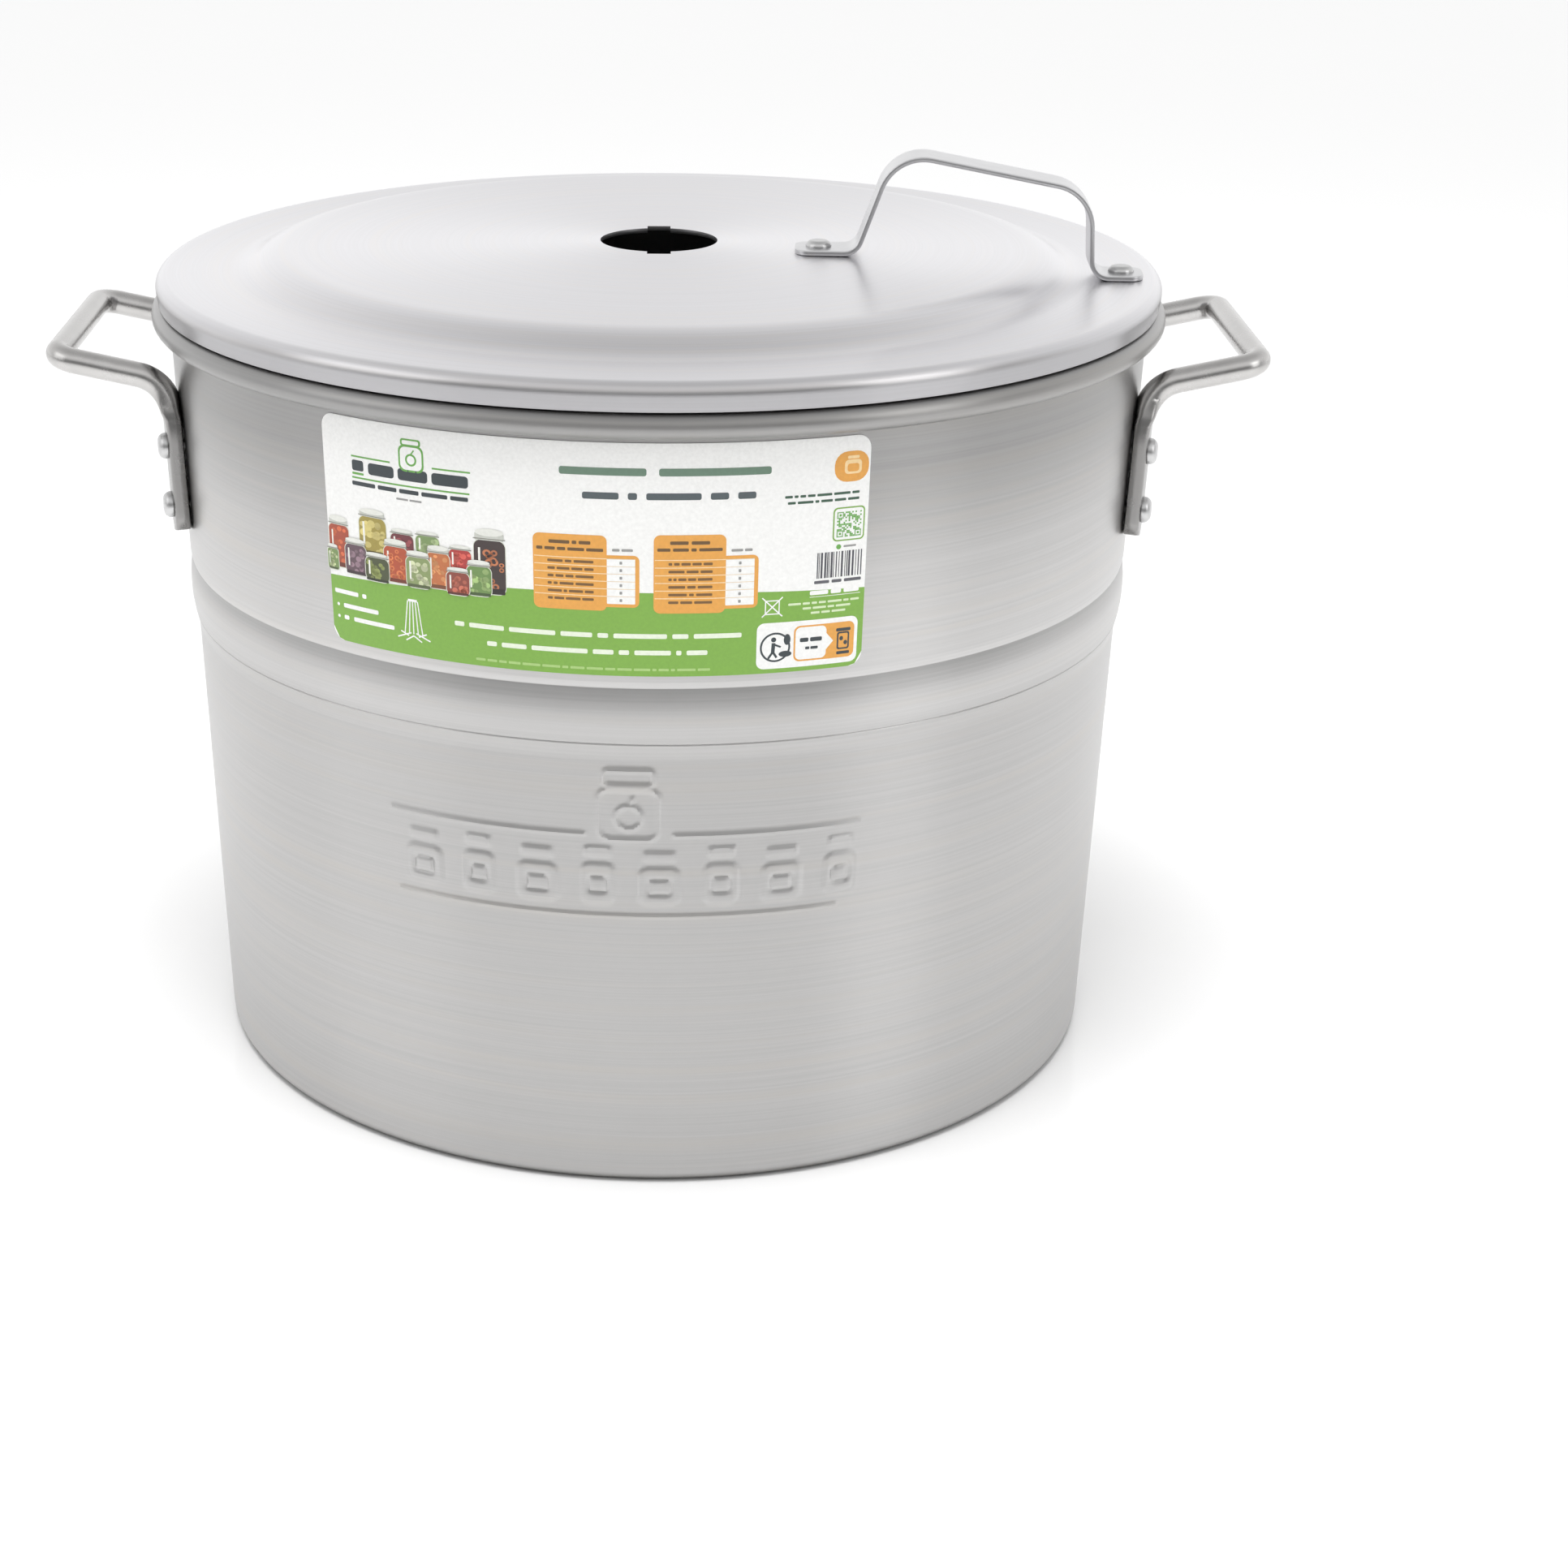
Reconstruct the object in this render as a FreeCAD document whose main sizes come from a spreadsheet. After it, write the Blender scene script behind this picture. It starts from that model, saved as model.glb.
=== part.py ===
"""Aluminium jar canner: a stepped stock pot, a domed lid with a strap handle, two riveted rod
handles, a printed label, and the loose inner column with six jar springs that slide on its rails.

Frame: the origin is the centre of the base, +Z up, +X through the right-hand side handle and -Y
towards the front, in millimetres.
"""
import FreeCAD, Part
import math
import os
import re

import Sketcher

os.makedirs("parts", exist_ok=True)

doc = FreeCAD.newDocument("canner")
vector = FreeCAD.Vector
placement = FreeCAD.Placement
rotation = FreeCAD.Rotation

# ---------------------------------------------------------------------------- driving dimensions
SIZES = {
    # pot wall: outer radii are insets from the radius at the step, heights are drops from the rim
    "pot_radius": 185.0,
    "pot_height": 295.6,
    "wall_sheet": 2.0,
    "floor_sheet": 2.5,
    "base_inset": 7.9,
    "base_rounding": 5.0,
    "crease_inset": 2.0,
    "crease_drop": 124.4,
    "bulge_out": 1.15,
    "bulge_drop": 112.4,
    "bulge_rounding": 50.0,
    "step_drop": 98.5,
    "step_tuck": 0.5,
    "step_ease": 2.4,
    "rim_flare": 3.3,
    "bead_radius": 4.35,
    "curl_gap": 0.7,
    # lid
    "lid_sheet": 1.8,
    "lid_rest_gap": 0.3,
    "skirt_gap": 0.5,
    "skirt_depth": 7.5,
    "lid_edge_inset": 0.8,
    "lid_edge_height": 10.6,
    "lid_edge_rounding": 4.6,
    "flange_lean": 1.4,
    "annulus_width": 33.7,
    "shoulder_width": 11.5,
    "dome_rise": 7.3,
    "crown_rise": 1.1,
    "shoulder_rounding": 24.0,
    "valley_rounding": 21.0,
    "hole_radius": 22.6,
    "notch_width": 9.0,
    "notch_depth": 4.0,
    # strap handle on the lid
    "strap_width": 19.5,
    "strap_sheet": 2.0,
    "strap_turn": -2.7,
    "strap_aside": 15.7,
    "strap_end_inset": 9.9,
    "strap_length": 131.7,
    "strap_foot_inner": 23.1,
    "strap_foot_outer": 19.6,
    "strap_lean_inner": 13.6,
    "strap_lean_outer": 1.6,
    "strap_top_inner": 38.5,
    "strap_top_outer": 33.0,
    "strap_bend": 6.7,
    "strap_corner": 16.5,
    "strap_rivet_inner": 8.9,
    "strap_rivet_outer": 8.0,
    # rod handles on the sides
    "rod_radius": 4.75,
    "grip_reach": 41.3,
    "grip_drop": 16.2,
    "grip_rise": 11.3,
    "grip_corner": 8.0,
    "leg_spread": 50.0,
    "leg_bend": 19.0,
    "leg_joint": 22.0,
    "leg_sink": 6.7,
    "rod_standoff": 4.1,
    "foot_width": 15.0,
    "foot_sheet": 6.0,
    "foot_length": 49.0,
    "foot_top_drop": 33.6,
    "foot_rounding": 6.7,
    "foot_shoulder": 4.3,
    # rivets
    "shank_radius": 2.5,
    "head_radius": 5.0,
    "head_height": 3.4,
    "head_rounding": 2.9,
    "tail_radius": 4.0,
    "tail_height": 1.5,
    "rivet_edge": 16.0,
    "rivet_gap": 0.2,
    "rivet_pitch": 23.0,
    # label
    "label_sheet": 0.3,
    "label_start": -38.0,
    "label_span": 60.4,
    "label_height": 83.0,
    "label_lift": 4.9,
    "label_corner": 5.0,
    # inner column and its springs
    "column_gap": 0.3,
    "column_headroom": 50.6,
    "column_base_radius": 42.0,
    "column_top_radius": 31.0,
    "ring_width": 10.0,
    "base_ring_sheet": 2.5,
    "top_ring_height": 6.0,
    "top_ring_rounding": 2.4,
    "rail_radius": 2.5,
    "rail_start_angle": 30.0,
    "slide_gap": 0.3,
    "collar_wall": 2.2,
    "collar_height": 9.0,
    "strip_width": 16.0,
    "strip_sheet": 1.0,
    "strip_wave": 9.0,
    "strip_dip": 2.2,
    "strip_bend": 10.0,
    "spring_margin": 32.0,
}
RAILS = 6
STRIP_RUNS = 5

sheet = doc.addObject("Spreadsheet::Sheet", "sizes")
for row, (alias, number) in enumerate(SIZES.items(), start=1):
    sheet.set(f"A{row}", alias)
    sheet.set(f"B{row}", str(number))
    sheet.setAlias(f"B{row}", alias)
doc.recompute()

# ------------------------------------------------------------------------------ derived formulas
# Each formula is text in the sheet's aliases, so that objects can be bound to it.
TAPER = "(rim_flare / (step_drop - bead_radius))"
STEP_Z = "(pot_height - step_drop)"
STEP_TOP_Z = f"({STEP_Z} + step_ease)"
BULGE_Z = "(pot_height - bulge_drop)"
CREASE_Z = "(pot_height - crease_drop)"
BEAD_Z = "(pot_height - bead_radius)"
RIM_WALL = "(pot_radius + rim_flare)"
BEAD_R = "(pot_radius + rim_flare - wall_sheet + bead_radius)"
MOUTH_R = "(pot_radius + rim_flare - wall_sheet)"
SEAT_Z = "(pot_height + lid_rest_gap)"
LID_EDGE_R = f"({BEAD_R} + bead_radius - lid_edge_inset)"
ANNULUS_Z = f"({SEAT_Z} + lid_edge_height)"
VALLEY_R = f"({LID_EDGE_R} - annulus_width)"
SHOULDER_R = f"({VALLEY_R} - shoulder_width)"
SHOULDER_Z = f"({ANNULUS_Z} + dome_rise)"
CROWN_Z = f"({SHOULDER_Z} + crown_rise)"
STRAP_END = f"({LID_EDGE_R} - strap_end_inset)"
STRAP_START = f"({STRAP_END} - strap_length)"
STRAP_IN_Z = f"({CROWN_Z} - crown_rise * {STRAP_START} / {SHOULDER_R})"
STRAP_RIVET_IN = f"({STRAP_START} + strap_rivet_inner)"
STRAP_RIVET_OUT = f"({STRAP_END} - strap_rivet_outer)"
FOOT_TOP_Z = "(pot_height - foot_top_drop)"
FOOT_LOW_Z = f"({FOOT_TOP_Z} - foot_length)"
FOOT_ANGLE = "asin(leg_spread / pot_radius)"
GRIP_Z = "(pot_height - grip_drop)"
GRIP_X = "(pot_radius + grip_reach)"
LEG_JOINT_X = "(pot_radius + leg_joint)"
LEG_JOINT_Z = f"({GRIP_Z} - (grip_reach - leg_joint) * tan(grip_rise * 1 deg))"
RIVET_HIGH_Z = f"({FOOT_TOP_Z} - rivet_edge)"
RIVET_LOW_Z = f"({RIVET_HIGH_Z} - rivet_pitch)"
COLUMN_Z = "(floor_sheet + column_gap)"
RAIL_LOW_Z = f"({COLUMN_Z} + base_ring_sheet)"
RAIL_HIGH_Z = "(pot_height - column_headroom - top_ring_height)"
COLLAR_Z = f"({RAIL_LOW_Z} + slide_gap)"
RAIL_SLOPE = f"((column_top_radius - column_base_radius) / ({RAIL_HIGH_Z} - {RAIL_LOW_Z}))"
SPRING_TIP = "(pot_radius - base_inset - wall_sheet - spring_margin)"
CUT_THROUGH = "(pot_height + pot_radius)"


def wall_radius(height):
    """Outer radius of the upper wall, which is a cone from the step to the rim."""
    return f"(pot_radius + ({height} - {STEP_Z}) * {TAPER})"


def formula(text):
    """Point every alias in a formula at the sheet, as setExpression needs."""
    return re.sub(r"[a-z][a-z_]*[a-z]", lambda m: f"sizes.{m.group()}" if m.group() in SIZES
                  else m.group(), text)


def value(text):
    """The number that a formula gives now, in millimetres or degrees."""
    found = sheet.evalExpression(formula(text))
    return float(getattr(found, "Value", found))


def bind(thing, **properties):
    """Bind properties of an object to formulas: __ in a name stands for a dot."""
    for name, text in properties.items():
        thing.setExpression(name.replace("__", "."), formula(text))


# -------------------------------------------------------------------------------- sketch helpers
def new_body(label):
    body = doc.addObject("PartDesign::Body", label)
    body.Label = label
    return body


def plane(body, role):
    return next(part for part in body.Origin.OriginFeatures if part.Role == role)


def new_sketch(body, name, role, turn_axis=None, **offsets):
    """A sketch on one of the body's own planes; offsets bind the attachment's Base and Rotation."""
    sketch = body.newObject("Sketcher::SketchObject", name)
    sketch.AttachmentSupport = [(plane(body, role), "")]
    sketch.MapMode = "FlatFace"
    if turn_axis:
        sketch.AttachmentOffset = placement(vector(), rotation(vector(*turn_axis), 1))
    for part, text in offsets.items():
        field = "Rotation.Angle" if part == "turn" else f"Base.{part}"
        sketch.setExpression(f"AttachmentOffset.{field}", formula(text))
    return sketch


def hold(sketch, kind, where, text):
    """Add a dimension whose value is a formula."""
    number = value(text)
    index = sketch.addConstraint(Sketcher.Constraint(kind, *where, number))
    sketch.renameConstraint(index, f"{kind}{index}")
    sketch.setExpression(f"Constraints.{kind}{index}", formula(text))


def pin_point(sketch, item, end, across, up):
    """Hold one point of a sketch at (across, up) from the sketch's origin."""
    for kind, text, axis in (("DistanceX", across, -2), ("DistanceY", up, -1)):
        if text == "0":
            sketch.addConstraint(Sketcher.Constraint("PointOnObject", item, end, axis))
        else:
            hold(sketch, kind, (-1, 1, item, end), text)


def circle(sketch, across, up, radius):
    """A full circle with its centre and radius bound to formulas."""
    shape = Part.Circle(vector(value(across), value(up), 0), vector(0, 0, 1), value(radius))
    item = sketch.addGeometry(shape, False)
    pin_point(sketch, item, 3, across, up)
    hold(sketch, "Radius", (item,), radius)
    return item


def outline(sketch, corners, closed=True):
    """Straight runs between corners (across, up[, radius]); a corner with a radius is a tangent arc."""
    points = [vector(value(corner[0]), value(corner[1]), 0) for corner in corners]
    radii = [value(corner[2]) if len(corner) > 2 else 0.0 for corner in corners]
    count = len(corners)
    entry, leave, arcs = list(points), list(points), {}
    for i in range(count):
        if not radii[i]:
            continue
        back = (points[i - 1] - points[i]).normalize()
        ahead = (points[(i + 1) % count] - points[i]).normalize()
        half = back.getAngle(ahead) / 2
        reach = radii[i] / math.tan(half)
        entry[i] = points[i] + back * reach
        leave[i] = points[i] + ahead * reach
        middle = points[i] + (back + ahead).normalize() * (radii[i] / math.sin(half))
        first, last = entry[i] - middle, leave[i] - middle
        left_turn = back.cross(ahead).z < 0
        start, stop = (first, last) if left_turn else (last, first)
        ring = Part.Circle(middle, vector(0, 0, 1), radii[i])
        sweep = Part.ArcOfCircle(ring, math.atan2(start.y, start.x), math.atan2(stop.y, stop.x))
        arcs[i] = (sweep, left_turn)
    runs = {}
    for i in range(count if closed else count - 1):
        runs[i] = sketch.addGeometry(Part.LineSegment(leave[i], entry[(i + 1) % count]), False)
    for i, corner in enumerate(corners):
        before = runs.get((i - 1) % count)
        after = runs.get(i)
        if i in arcs:
            sweep, left_turn = arcs[i]
            bend = sketch.addGeometry(sweep, False)
            apex = sketch.addGeometry(Part.Point(points[i]), True)
            pin_point(sketch, apex, 1, corner[0], corner[1])
            first_end, last_end = (1, 2) if left_turn else (2, 1)
            sketch.addConstraint([
                Sketcher.Constraint("PointOnObject", apex, 1, before),
                Sketcher.Constraint("PointOnObject", apex, 1, after),
                Sketcher.Constraint("Tangent", before, 2, bend, first_end),
                Sketcher.Constraint("Tangent", bend, last_end, after, 1),
            ])
            hold(sketch, "Radius", (bend,), corner[2])
            continue
        if before is not None and after is not None:
            sketch.addConstraint(Sketcher.Constraint("Coincident", before, 2, after, 1))
        item, end = (after, 1) if after is not None else (before, 2)
        pin_point(sketch, item, end, corner[0], corner[1])


# ------------------------------------------------------------------------------- feature helpers
def revolve(body, name, sketch, kind="Revolution", axis="V_Axis"):
    feature = body.newObject(f"PartDesign::{kind}", name)
    feature.Profile = sketch
    feature.ReferenceAxis = (sketch, [axis])
    feature.Angle = 360
    return feature


def pad(body, name, sketch, length, midplane=False):
    feature = body.newObject("PartDesign::Pad", name)
    feature.Profile = sketch
    feature.Midplane = midplane
    bind(feature, Length=length)
    return feature


def drill(body, name, sketch, length, midplane=False):
    """Cut a sketch's shape away on the side that its normal points to, or on both sides."""
    feature = body.newObject("PartDesign::Pocket", name)
    feature.Profile = sketch
    feature.Reversed = True
    feature.Midplane = midplane
    bind(feature, Length=length)
    return feature


def pipe(body, name, section, path):
    feature = body.newObject("PartDesign::AdditivePipe", name)
    feature.Profile = section
    feature.Spine = (path, [])
    return feature


def radial_sketch(body, name, angle, **offsets):
    """A sketch on the upright plane through the Z axis at this azimuth: across is the radius."""
    return new_sketch(body, name, "XZ_Plane", (0, 1, 0), turn=angle, **offsets)


def rivet(body, name, sketch, inner, outer, axis):
    """One solid rivet turned about an axis of its sketch: flat tail, shank and rounded head.

    inner and outer are the places along the axis of the faces that it clamps.
    """
    turned = [
        (f"{inner} - tail_height", "0"),
        (f"{inner} - tail_height", "tail_radius"),
        (inner, "tail_radius"),
        (inner, "shank_radius"),
        (outer, "shank_radius"),
        (outer, "head_radius"),
        (f"{outer} + head_height", "head_radius", "head_rounding"),
        (f"{outer} + head_height", "0"),
    ]
    if axis == "V_Axis":
        turned = [(corner[1], corner[0], *corner[2:]) for corner in turned]
    outline(sketch, turned)
    return revolve(body, name, sketch, axis=axis)


# ------------------------------------------------------------------------------------ the pieces
def make_pot_body():
    """Spun sheet pot: tapered lower wall, swelling band under a sharp step, rolled hollow rim."""
    body = new_body("pot_body")
    wall = new_sketch(body, "wall_profile", "XZ_Plane")
    base = "(pot_radius - base_inset)"
    crease = "(pot_radius - crease_inset)"
    bulge = "(pot_radius + bulge_out)"
    step = "(pot_radius - step_tuck)"
    step_top = wall_radius(STEP_TOP_Z)
    outline(wall, [
        ("0", "0"),
        (base, "0", "base_rounding"),
        (crease, CREASE_Z),
        (bulge, BULGE_Z, "bulge_rounding"),
        (step, STEP_Z),
        (step_top, STEP_TOP_Z),
        (RIM_WALL, BEAD_Z),
        (f"{RIM_WALL} - wall_sheet", BEAD_Z),
        (f"{step_top} - wall_sheet", STEP_TOP_Z),
        (f"{step} - wall_sheet", STEP_Z),
        (f"{bulge} - wall_sheet", BULGE_Z, "bulge_rounding - wall_sheet"),
        (f"{crease} - wall_sheet", CREASE_Z),
        (f"{base} - wall_sheet", "floor_sheet", "base_rounding - wall_sheet"),
        ("0", "floor_sheet"),
    ])
    revolve(body, "wall", wall)
    curl = new_sketch(body, "curl_profile", "XZ_Plane")
    middle = vector(value(BEAD_R), value(BEAD_Z), 0)
    outer_radius = value("bead_radius")
    inner_radius = value("bead_radius - wall_sheet")
    stop = -math.acos(-value("bead_radius - wall_sheet - curl_gap") / outer_radius)
    arcs = []
    for radius, name in ((outer_radius, "bead_radius"), (inner_radius, "bead_radius - wall_sheet")):
        ring = Part.Circle(middle, vector(0, 0, 1), radius)
        arc = curl.addGeometry(Part.ArcOfCircle(ring, stop, math.pi), False)
        pin_point(curl, arc, 3, BEAD_R, BEAD_Z)
        hold(curl, "Radius", (arc,), name)
        curl.addConstraint(Sketcher.Constraint("Horizontal", arc, 3, arc, 2))
        arcs.append(arc)
    for end, angle in ((1, stop), (2, math.pi)):
        ray = vector(math.cos(angle), math.sin(angle), 0)
        line = Part.LineSegment(middle + ray * outer_radius, middle + ray * inner_radius)
        edge = curl.addGeometry(line, False)
        curl.addConstraint(Sketcher.Constraint("Coincident", arcs[0], end, edge, 1))
        curl.addConstraint(Sketcher.Constraint("Coincident", arcs[1], end, edge, 2))
        if end == 1:
            curl.addConstraint(Sketcher.Constraint("PointOnObject", arcs[0], 3, edge))
    hold(curl, "DistanceX", (-1, 1, arcs[0], 1), f"{RIM_WALL} + curl_gap")
    revolve(body, "rim_curl", curl)
    add_foot_holes(body, (0, 180))
    return body


def add_foot_holes(body, turns):
    """Rivet holes through the upper wall or a handle foot, two at each foot."""
    for turn in turns:
        for side in ("-", "+"):
            name = f"holes_{turn}_{'low' if side == '-' else 'high'}"
            sketch = new_sketch(body, name, "YZ_Plane", (0, 1, 0), turn=f"{turn} * 1 deg {side} {FOOT_ANGLE}")
            for height in (RIVET_HIGH_Z, RIVET_LOW_Z):
                circle(sketch, "0", height, "shank_radius")
            drill(body, f"{name}_cut", sketch, CUT_THROUGH)


def make_side_handle(label, turn):
    """Bent rod handle: square grip, two legs curved down into flattened feet on the wall."""
    body = new_body(label)
    foot_radius = wall_radius(FOOT_TOP_Z)
    foot = new_sketch(body, "foot_shape", "YZ_Plane", (0, 1, 0), turn=f"-{FOOT_ANGLE}",
                      z=f"{foot_radius} * cos({FOOT_ANGLE}) - 2 * foot_sheet",
                      x=f"-{foot_radius} * sin({FOOT_ANGLE}) + 2 * foot_sheet * sin({FOOT_ANGLE})")
    half = "foot_width / 2"
    outline(foot, [
        (f"-{half}", FOOT_LOW_Z, "foot_rounding"),
        (half, FOOT_LOW_Z, "foot_rounding"),
        (half, FOOT_TOP_Z, "foot_shoulder"),
        (f"-{half}", FOOT_TOP_Z, "foot_shoulder"),
    ])
    pad(body, "foot_slab", foot, "4 * foot_sheet")
    outside = new_sketch(body, "foot_outside", "XZ_Plane")
    low, high = "0", "pot_height"
    outline(outside, [
        (f"{wall_radius(low)} + foot_sheet", low),
        (f"{wall_radius(low)} + 10 * foot_sheet", low),
        (f"{wall_radius(high)} + 10 * foot_sheet", high),
        (f"{wall_radius(high)} + foot_sheet", high),
    ])
    revolve(body, "foot_face", outside, "Groove")
    leg_x = f"(sqrt(pow({foot_radius}; 2) - pow(leg_spread; 2)) + rod_standoff / cos({FOOT_ANGLE}))"
    leg_z = f"({FOOT_TOP_Z} - leg_sink)"
    corner_z = f"({LEG_JOINT_Z} - ({LEG_JOINT_X} - {leg_x}) * tan(grip_rise * 1 deg))"
    leg_path = new_sketch(body, "leg_path", "XZ_Plane", z="leg_spread")
    outline(leg_path, [
        (leg_x, leg_z),
        (leg_x, corner_z, "leg_bend"),
        (LEG_JOINT_X, LEG_JOINT_Z),
    ], closed=False)
    leg_section = new_sketch(body, "leg_section", "XY_Plane", z=leg_z)
    circle(leg_section, leg_x, "-leg_spread", "rod_radius")
    pipe(body, "leg", leg_section, leg_path)
    grip_path = new_sketch(body, "grip_path", "XY_Plane", (0, -1, 0), turn="grip_rise",
                           x=GRIP_X, z=GRIP_Z)
    outline(grip_path, [
        ("0", "0"),
        ("0", "-leg_spread", "grip_corner"),
        ("-(grip_reach - leg_joint) / cos(grip_rise * 1 deg)", "-leg_spread"),
    ], closed=False)
    grip_section = new_sketch(body, "grip_section", "XZ_Plane")
    circle(grip_section, GRIP_X, GRIP_Z, "rod_radius")
    pipe(body, "grip", grip_section, grip_path)
    twin = body.newObject("PartDesign::Mirrored", "twin")
    twin.TransformMode = "Whole shape"
    twin.MirrorPlane = (plane(body, "XZ_Plane"), [""])
    body.Tip = twin
    inside = new_sketch(body, "wall_space", "XZ_Plane")
    outline(inside, [
        ("0", low),
        (wall_radius(low), low),
        (wall_radius(high), high),
        ("0", high),
    ])
    revolve(body, "wall_seat", inside, "Groove")
    add_foot_holes(body, (0,))
    body.Placement = placement(vector(), rotation(vector(0, 0, 1), turn))
    return body


def make_side_rivets(label, turn):
    """Four rivets that hold one side handle to the wall."""
    body = new_body(label)
    for side in ("-", "+"):
        for height, name in ((RIVET_HIGH_Z, "upper"), (RIVET_LOW_Z, "lower")):
            sketch = radial_sketch(body, f"{name}_{'front' if side == '-' else 'rear'}",
                                   f"{side} {FOOT_ANGLE}", y=height)
            inner = f"({wall_radius(height)} - wall_sheet - rivet_gap)"
            outer = f"({wall_radius(height)} + foot_sheet + rivet_gap)"
            rivet(body, f"{sketch.Name}_turned", sketch, inner, outer, "H_Axis")
    body.Placement = placement(vector(), rotation(vector(0, 0, 1), turn))
    return body


def make_label():
    """Thin printed label that follows the upper wall."""
    body = new_body("label")
    low = f"({STEP_Z} + label_lift)"
    high = f"({low} + label_height)"
    sketch = radial_sketch(body, "label_section", "label_start - 90")
    outline(sketch, [
        (wall_radius(low), low),
        (f"{wall_radius(low)} + label_sheet", low),
        (f"{wall_radius(high)} + label_sheet", high),
        (wall_radius(high), high),
    ])
    band = revolve(body, "label_band", sketch)
    bind(band, Angle="label_span")
    doc.recompute()
    limit = value("label_sheet") * 1.5
    ends = [f"Edge{i}" for i, edge in enumerate(band.Shape.Edges, start=1) if edge.Length < limit]
    corners = body.newObject("PartDesign::Fillet", "label_corners")
    corners.Base = (band, ends)
    bind(corners, Radius="label_corner")
    return body


def make_lid():
    """Spun lid: crown, shoulder, flat ring, rolled edge and a skirt that drops into the mouth."""
    body = new_body("lid")
    section = new_sketch(body, "lid_profile", "XZ_Plane")
    flange = f"({LID_EDGE_R} - flange_lean)"
    skirt = f"({MOUTH_R} - skirt_gap)"
    skirt_low = f"({SEAT_Z} - skirt_depth)"
    outline(section, [
        ("0", CROWN_Z),
        (SHOULDER_R, SHOULDER_Z, "shoulder_rounding"),
        (VALLEY_R, ANNULUS_Z, "valley_rounding"),
        (LID_EDGE_R, ANNULUS_Z, "lid_edge_rounding"),
        (flange, SEAT_Z),
        (skirt, SEAT_Z),
        (skirt, skirt_low),
        (f"{skirt} - lid_sheet", skirt_low),
        (f"{skirt} - lid_sheet", f"{SEAT_Z} + lid_sheet"),
        (f"{flange} - lid_sheet", f"{SEAT_Z} + lid_sheet"),
        (f"{LID_EDGE_R} - lid_sheet", f"{ANNULUS_Z} - lid_sheet", "lid_edge_rounding - lid_sheet"),
        (VALLEY_R, f"{ANNULUS_Z} - lid_sheet", "valley_rounding"),
        (SHOULDER_R, f"{SHOULDER_Z} - lid_sheet", "shoulder_rounding"),
        ("0", f"{CROWN_Z} - lid_sheet"),
    ])
    revolve(body, "lid_shell", section)
    hole = new_sketch(body, "hole_shape", "XY_Plane")
    circle(hole, "0", "0", "hole_radius")
    drill(body, "hole", hole, CUT_THROUGH)
    notch = new_sketch(body, "notch_shape", "XY_Plane")
    half, reach = "notch_width / 2", "(hole_radius + notch_depth)"
    outline(notch, [(f"-{half}", f"-{reach}"), (half, f"-{reach}"), (half, reach), (f"-{half}", reach)])
    drill(body, "notches", notch, CUT_THROUGH)
    for name, along in (("inner", STRAP_RIVET_IN), ("outer", STRAP_RIVET_OUT)):
        bore = new_sketch(body, f"{name}_rivet_place", "XY_Plane", (0, 0, 1), turn="strap_turn",
                          y="-strap_aside")
        circle(bore, along, "0", "shank_radius")
        drill(body, f"{name}_rivet_hole", bore, CUT_THROUGH)
    return body


def make_lid_handle():
    """Flat strap bent into a grip, one foot on the crown and one on the lower flat ring."""
    body = new_body("lid_handle")
    inner_z = f"({STRAP_IN_Z} + strap_sheet / 2)"
    outer_z = f"({ANNULUS_Z} + strap_sheet / 2)"
    inner_bend = f"({STRAP_START} + strap_foot_inner)"
    outer_bend = f"({STRAP_END} - strap_foot_outer)"
    path = new_sketch(body, "strap_path", "XZ_Plane", (0, 1, 0), turn="strap_turn", z="strap_aside")
    outline(path, [
        (STRAP_START, inner_z),
        (inner_bend, inner_z, "strap_bend"),
        (f"{inner_bend} + strap_lean_inner", f"{CROWN_Z} + strap_top_inner", "strap_corner"),
        (f"{outer_bend} - strap_lean_outer", f"{ANNULUS_Z} + strap_top_outer", "strap_corner"),
        (outer_bend, outer_z, "strap_bend"),
        (STRAP_END, outer_z),
    ], closed=False)
    section = new_sketch(body, "strap_section", "YZ_Plane", (0, 1, 0), turn="strap_turn",
                         x=f"-strap_aside + {STRAP_START} * sin(strap_turn * 1 deg)",
                         z=f"{STRAP_START} * cos(strap_turn * 1 deg)")
    half = "strap_width / 2"
    outline(section, [
        (f"-{half}", STRAP_IN_Z),
        (half, STRAP_IN_Z),
        (half, f"{STRAP_IN_Z} + strap_sheet"),
        (f"-{half}", f"{STRAP_IN_Z} + strap_sheet"),
    ])
    pipe(body, "strap", section, path)
    for name, along in (("inner", STRAP_RIVET_IN), ("outer", STRAP_RIVET_OUT)):
        bore = new_sketch(body, f"{name}_rivet_place", "XY_Plane", (0, 0, 1), turn="strap_turn",
                          y="-strap_aside")
        circle(bore, along, "0", "shank_radius")
        drill(body, f"{name}_rivet_hole", bore, CUT_THROUGH)
    return body


def make_lid_handle_rivets():
    """Two rivets through the strap's feet and the lid."""
    body = new_body("lid_handle_rivets")
    for name, along, top in (("inner", STRAP_RIVET_IN, STRAP_IN_Z), ("outer", STRAP_RIVET_OUT, ANNULUS_Z)):
        turn = "strap_turn * 1 deg"
        sketch = new_sketch(body, f"{name}_rivet", "XZ_Plane", (0, 1, 0), turn="strap_turn",
                            x=f"{along} * cos({turn})", z=f"strap_aside - {along} * sin({turn})")
        rivet(body, f"{name}_turned", sketch, f"({top} - lid_sheet - rivet_gap)",
              f"({top} + strap_sheet + rivet_gap)", "V_Axis")
    return body


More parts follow.
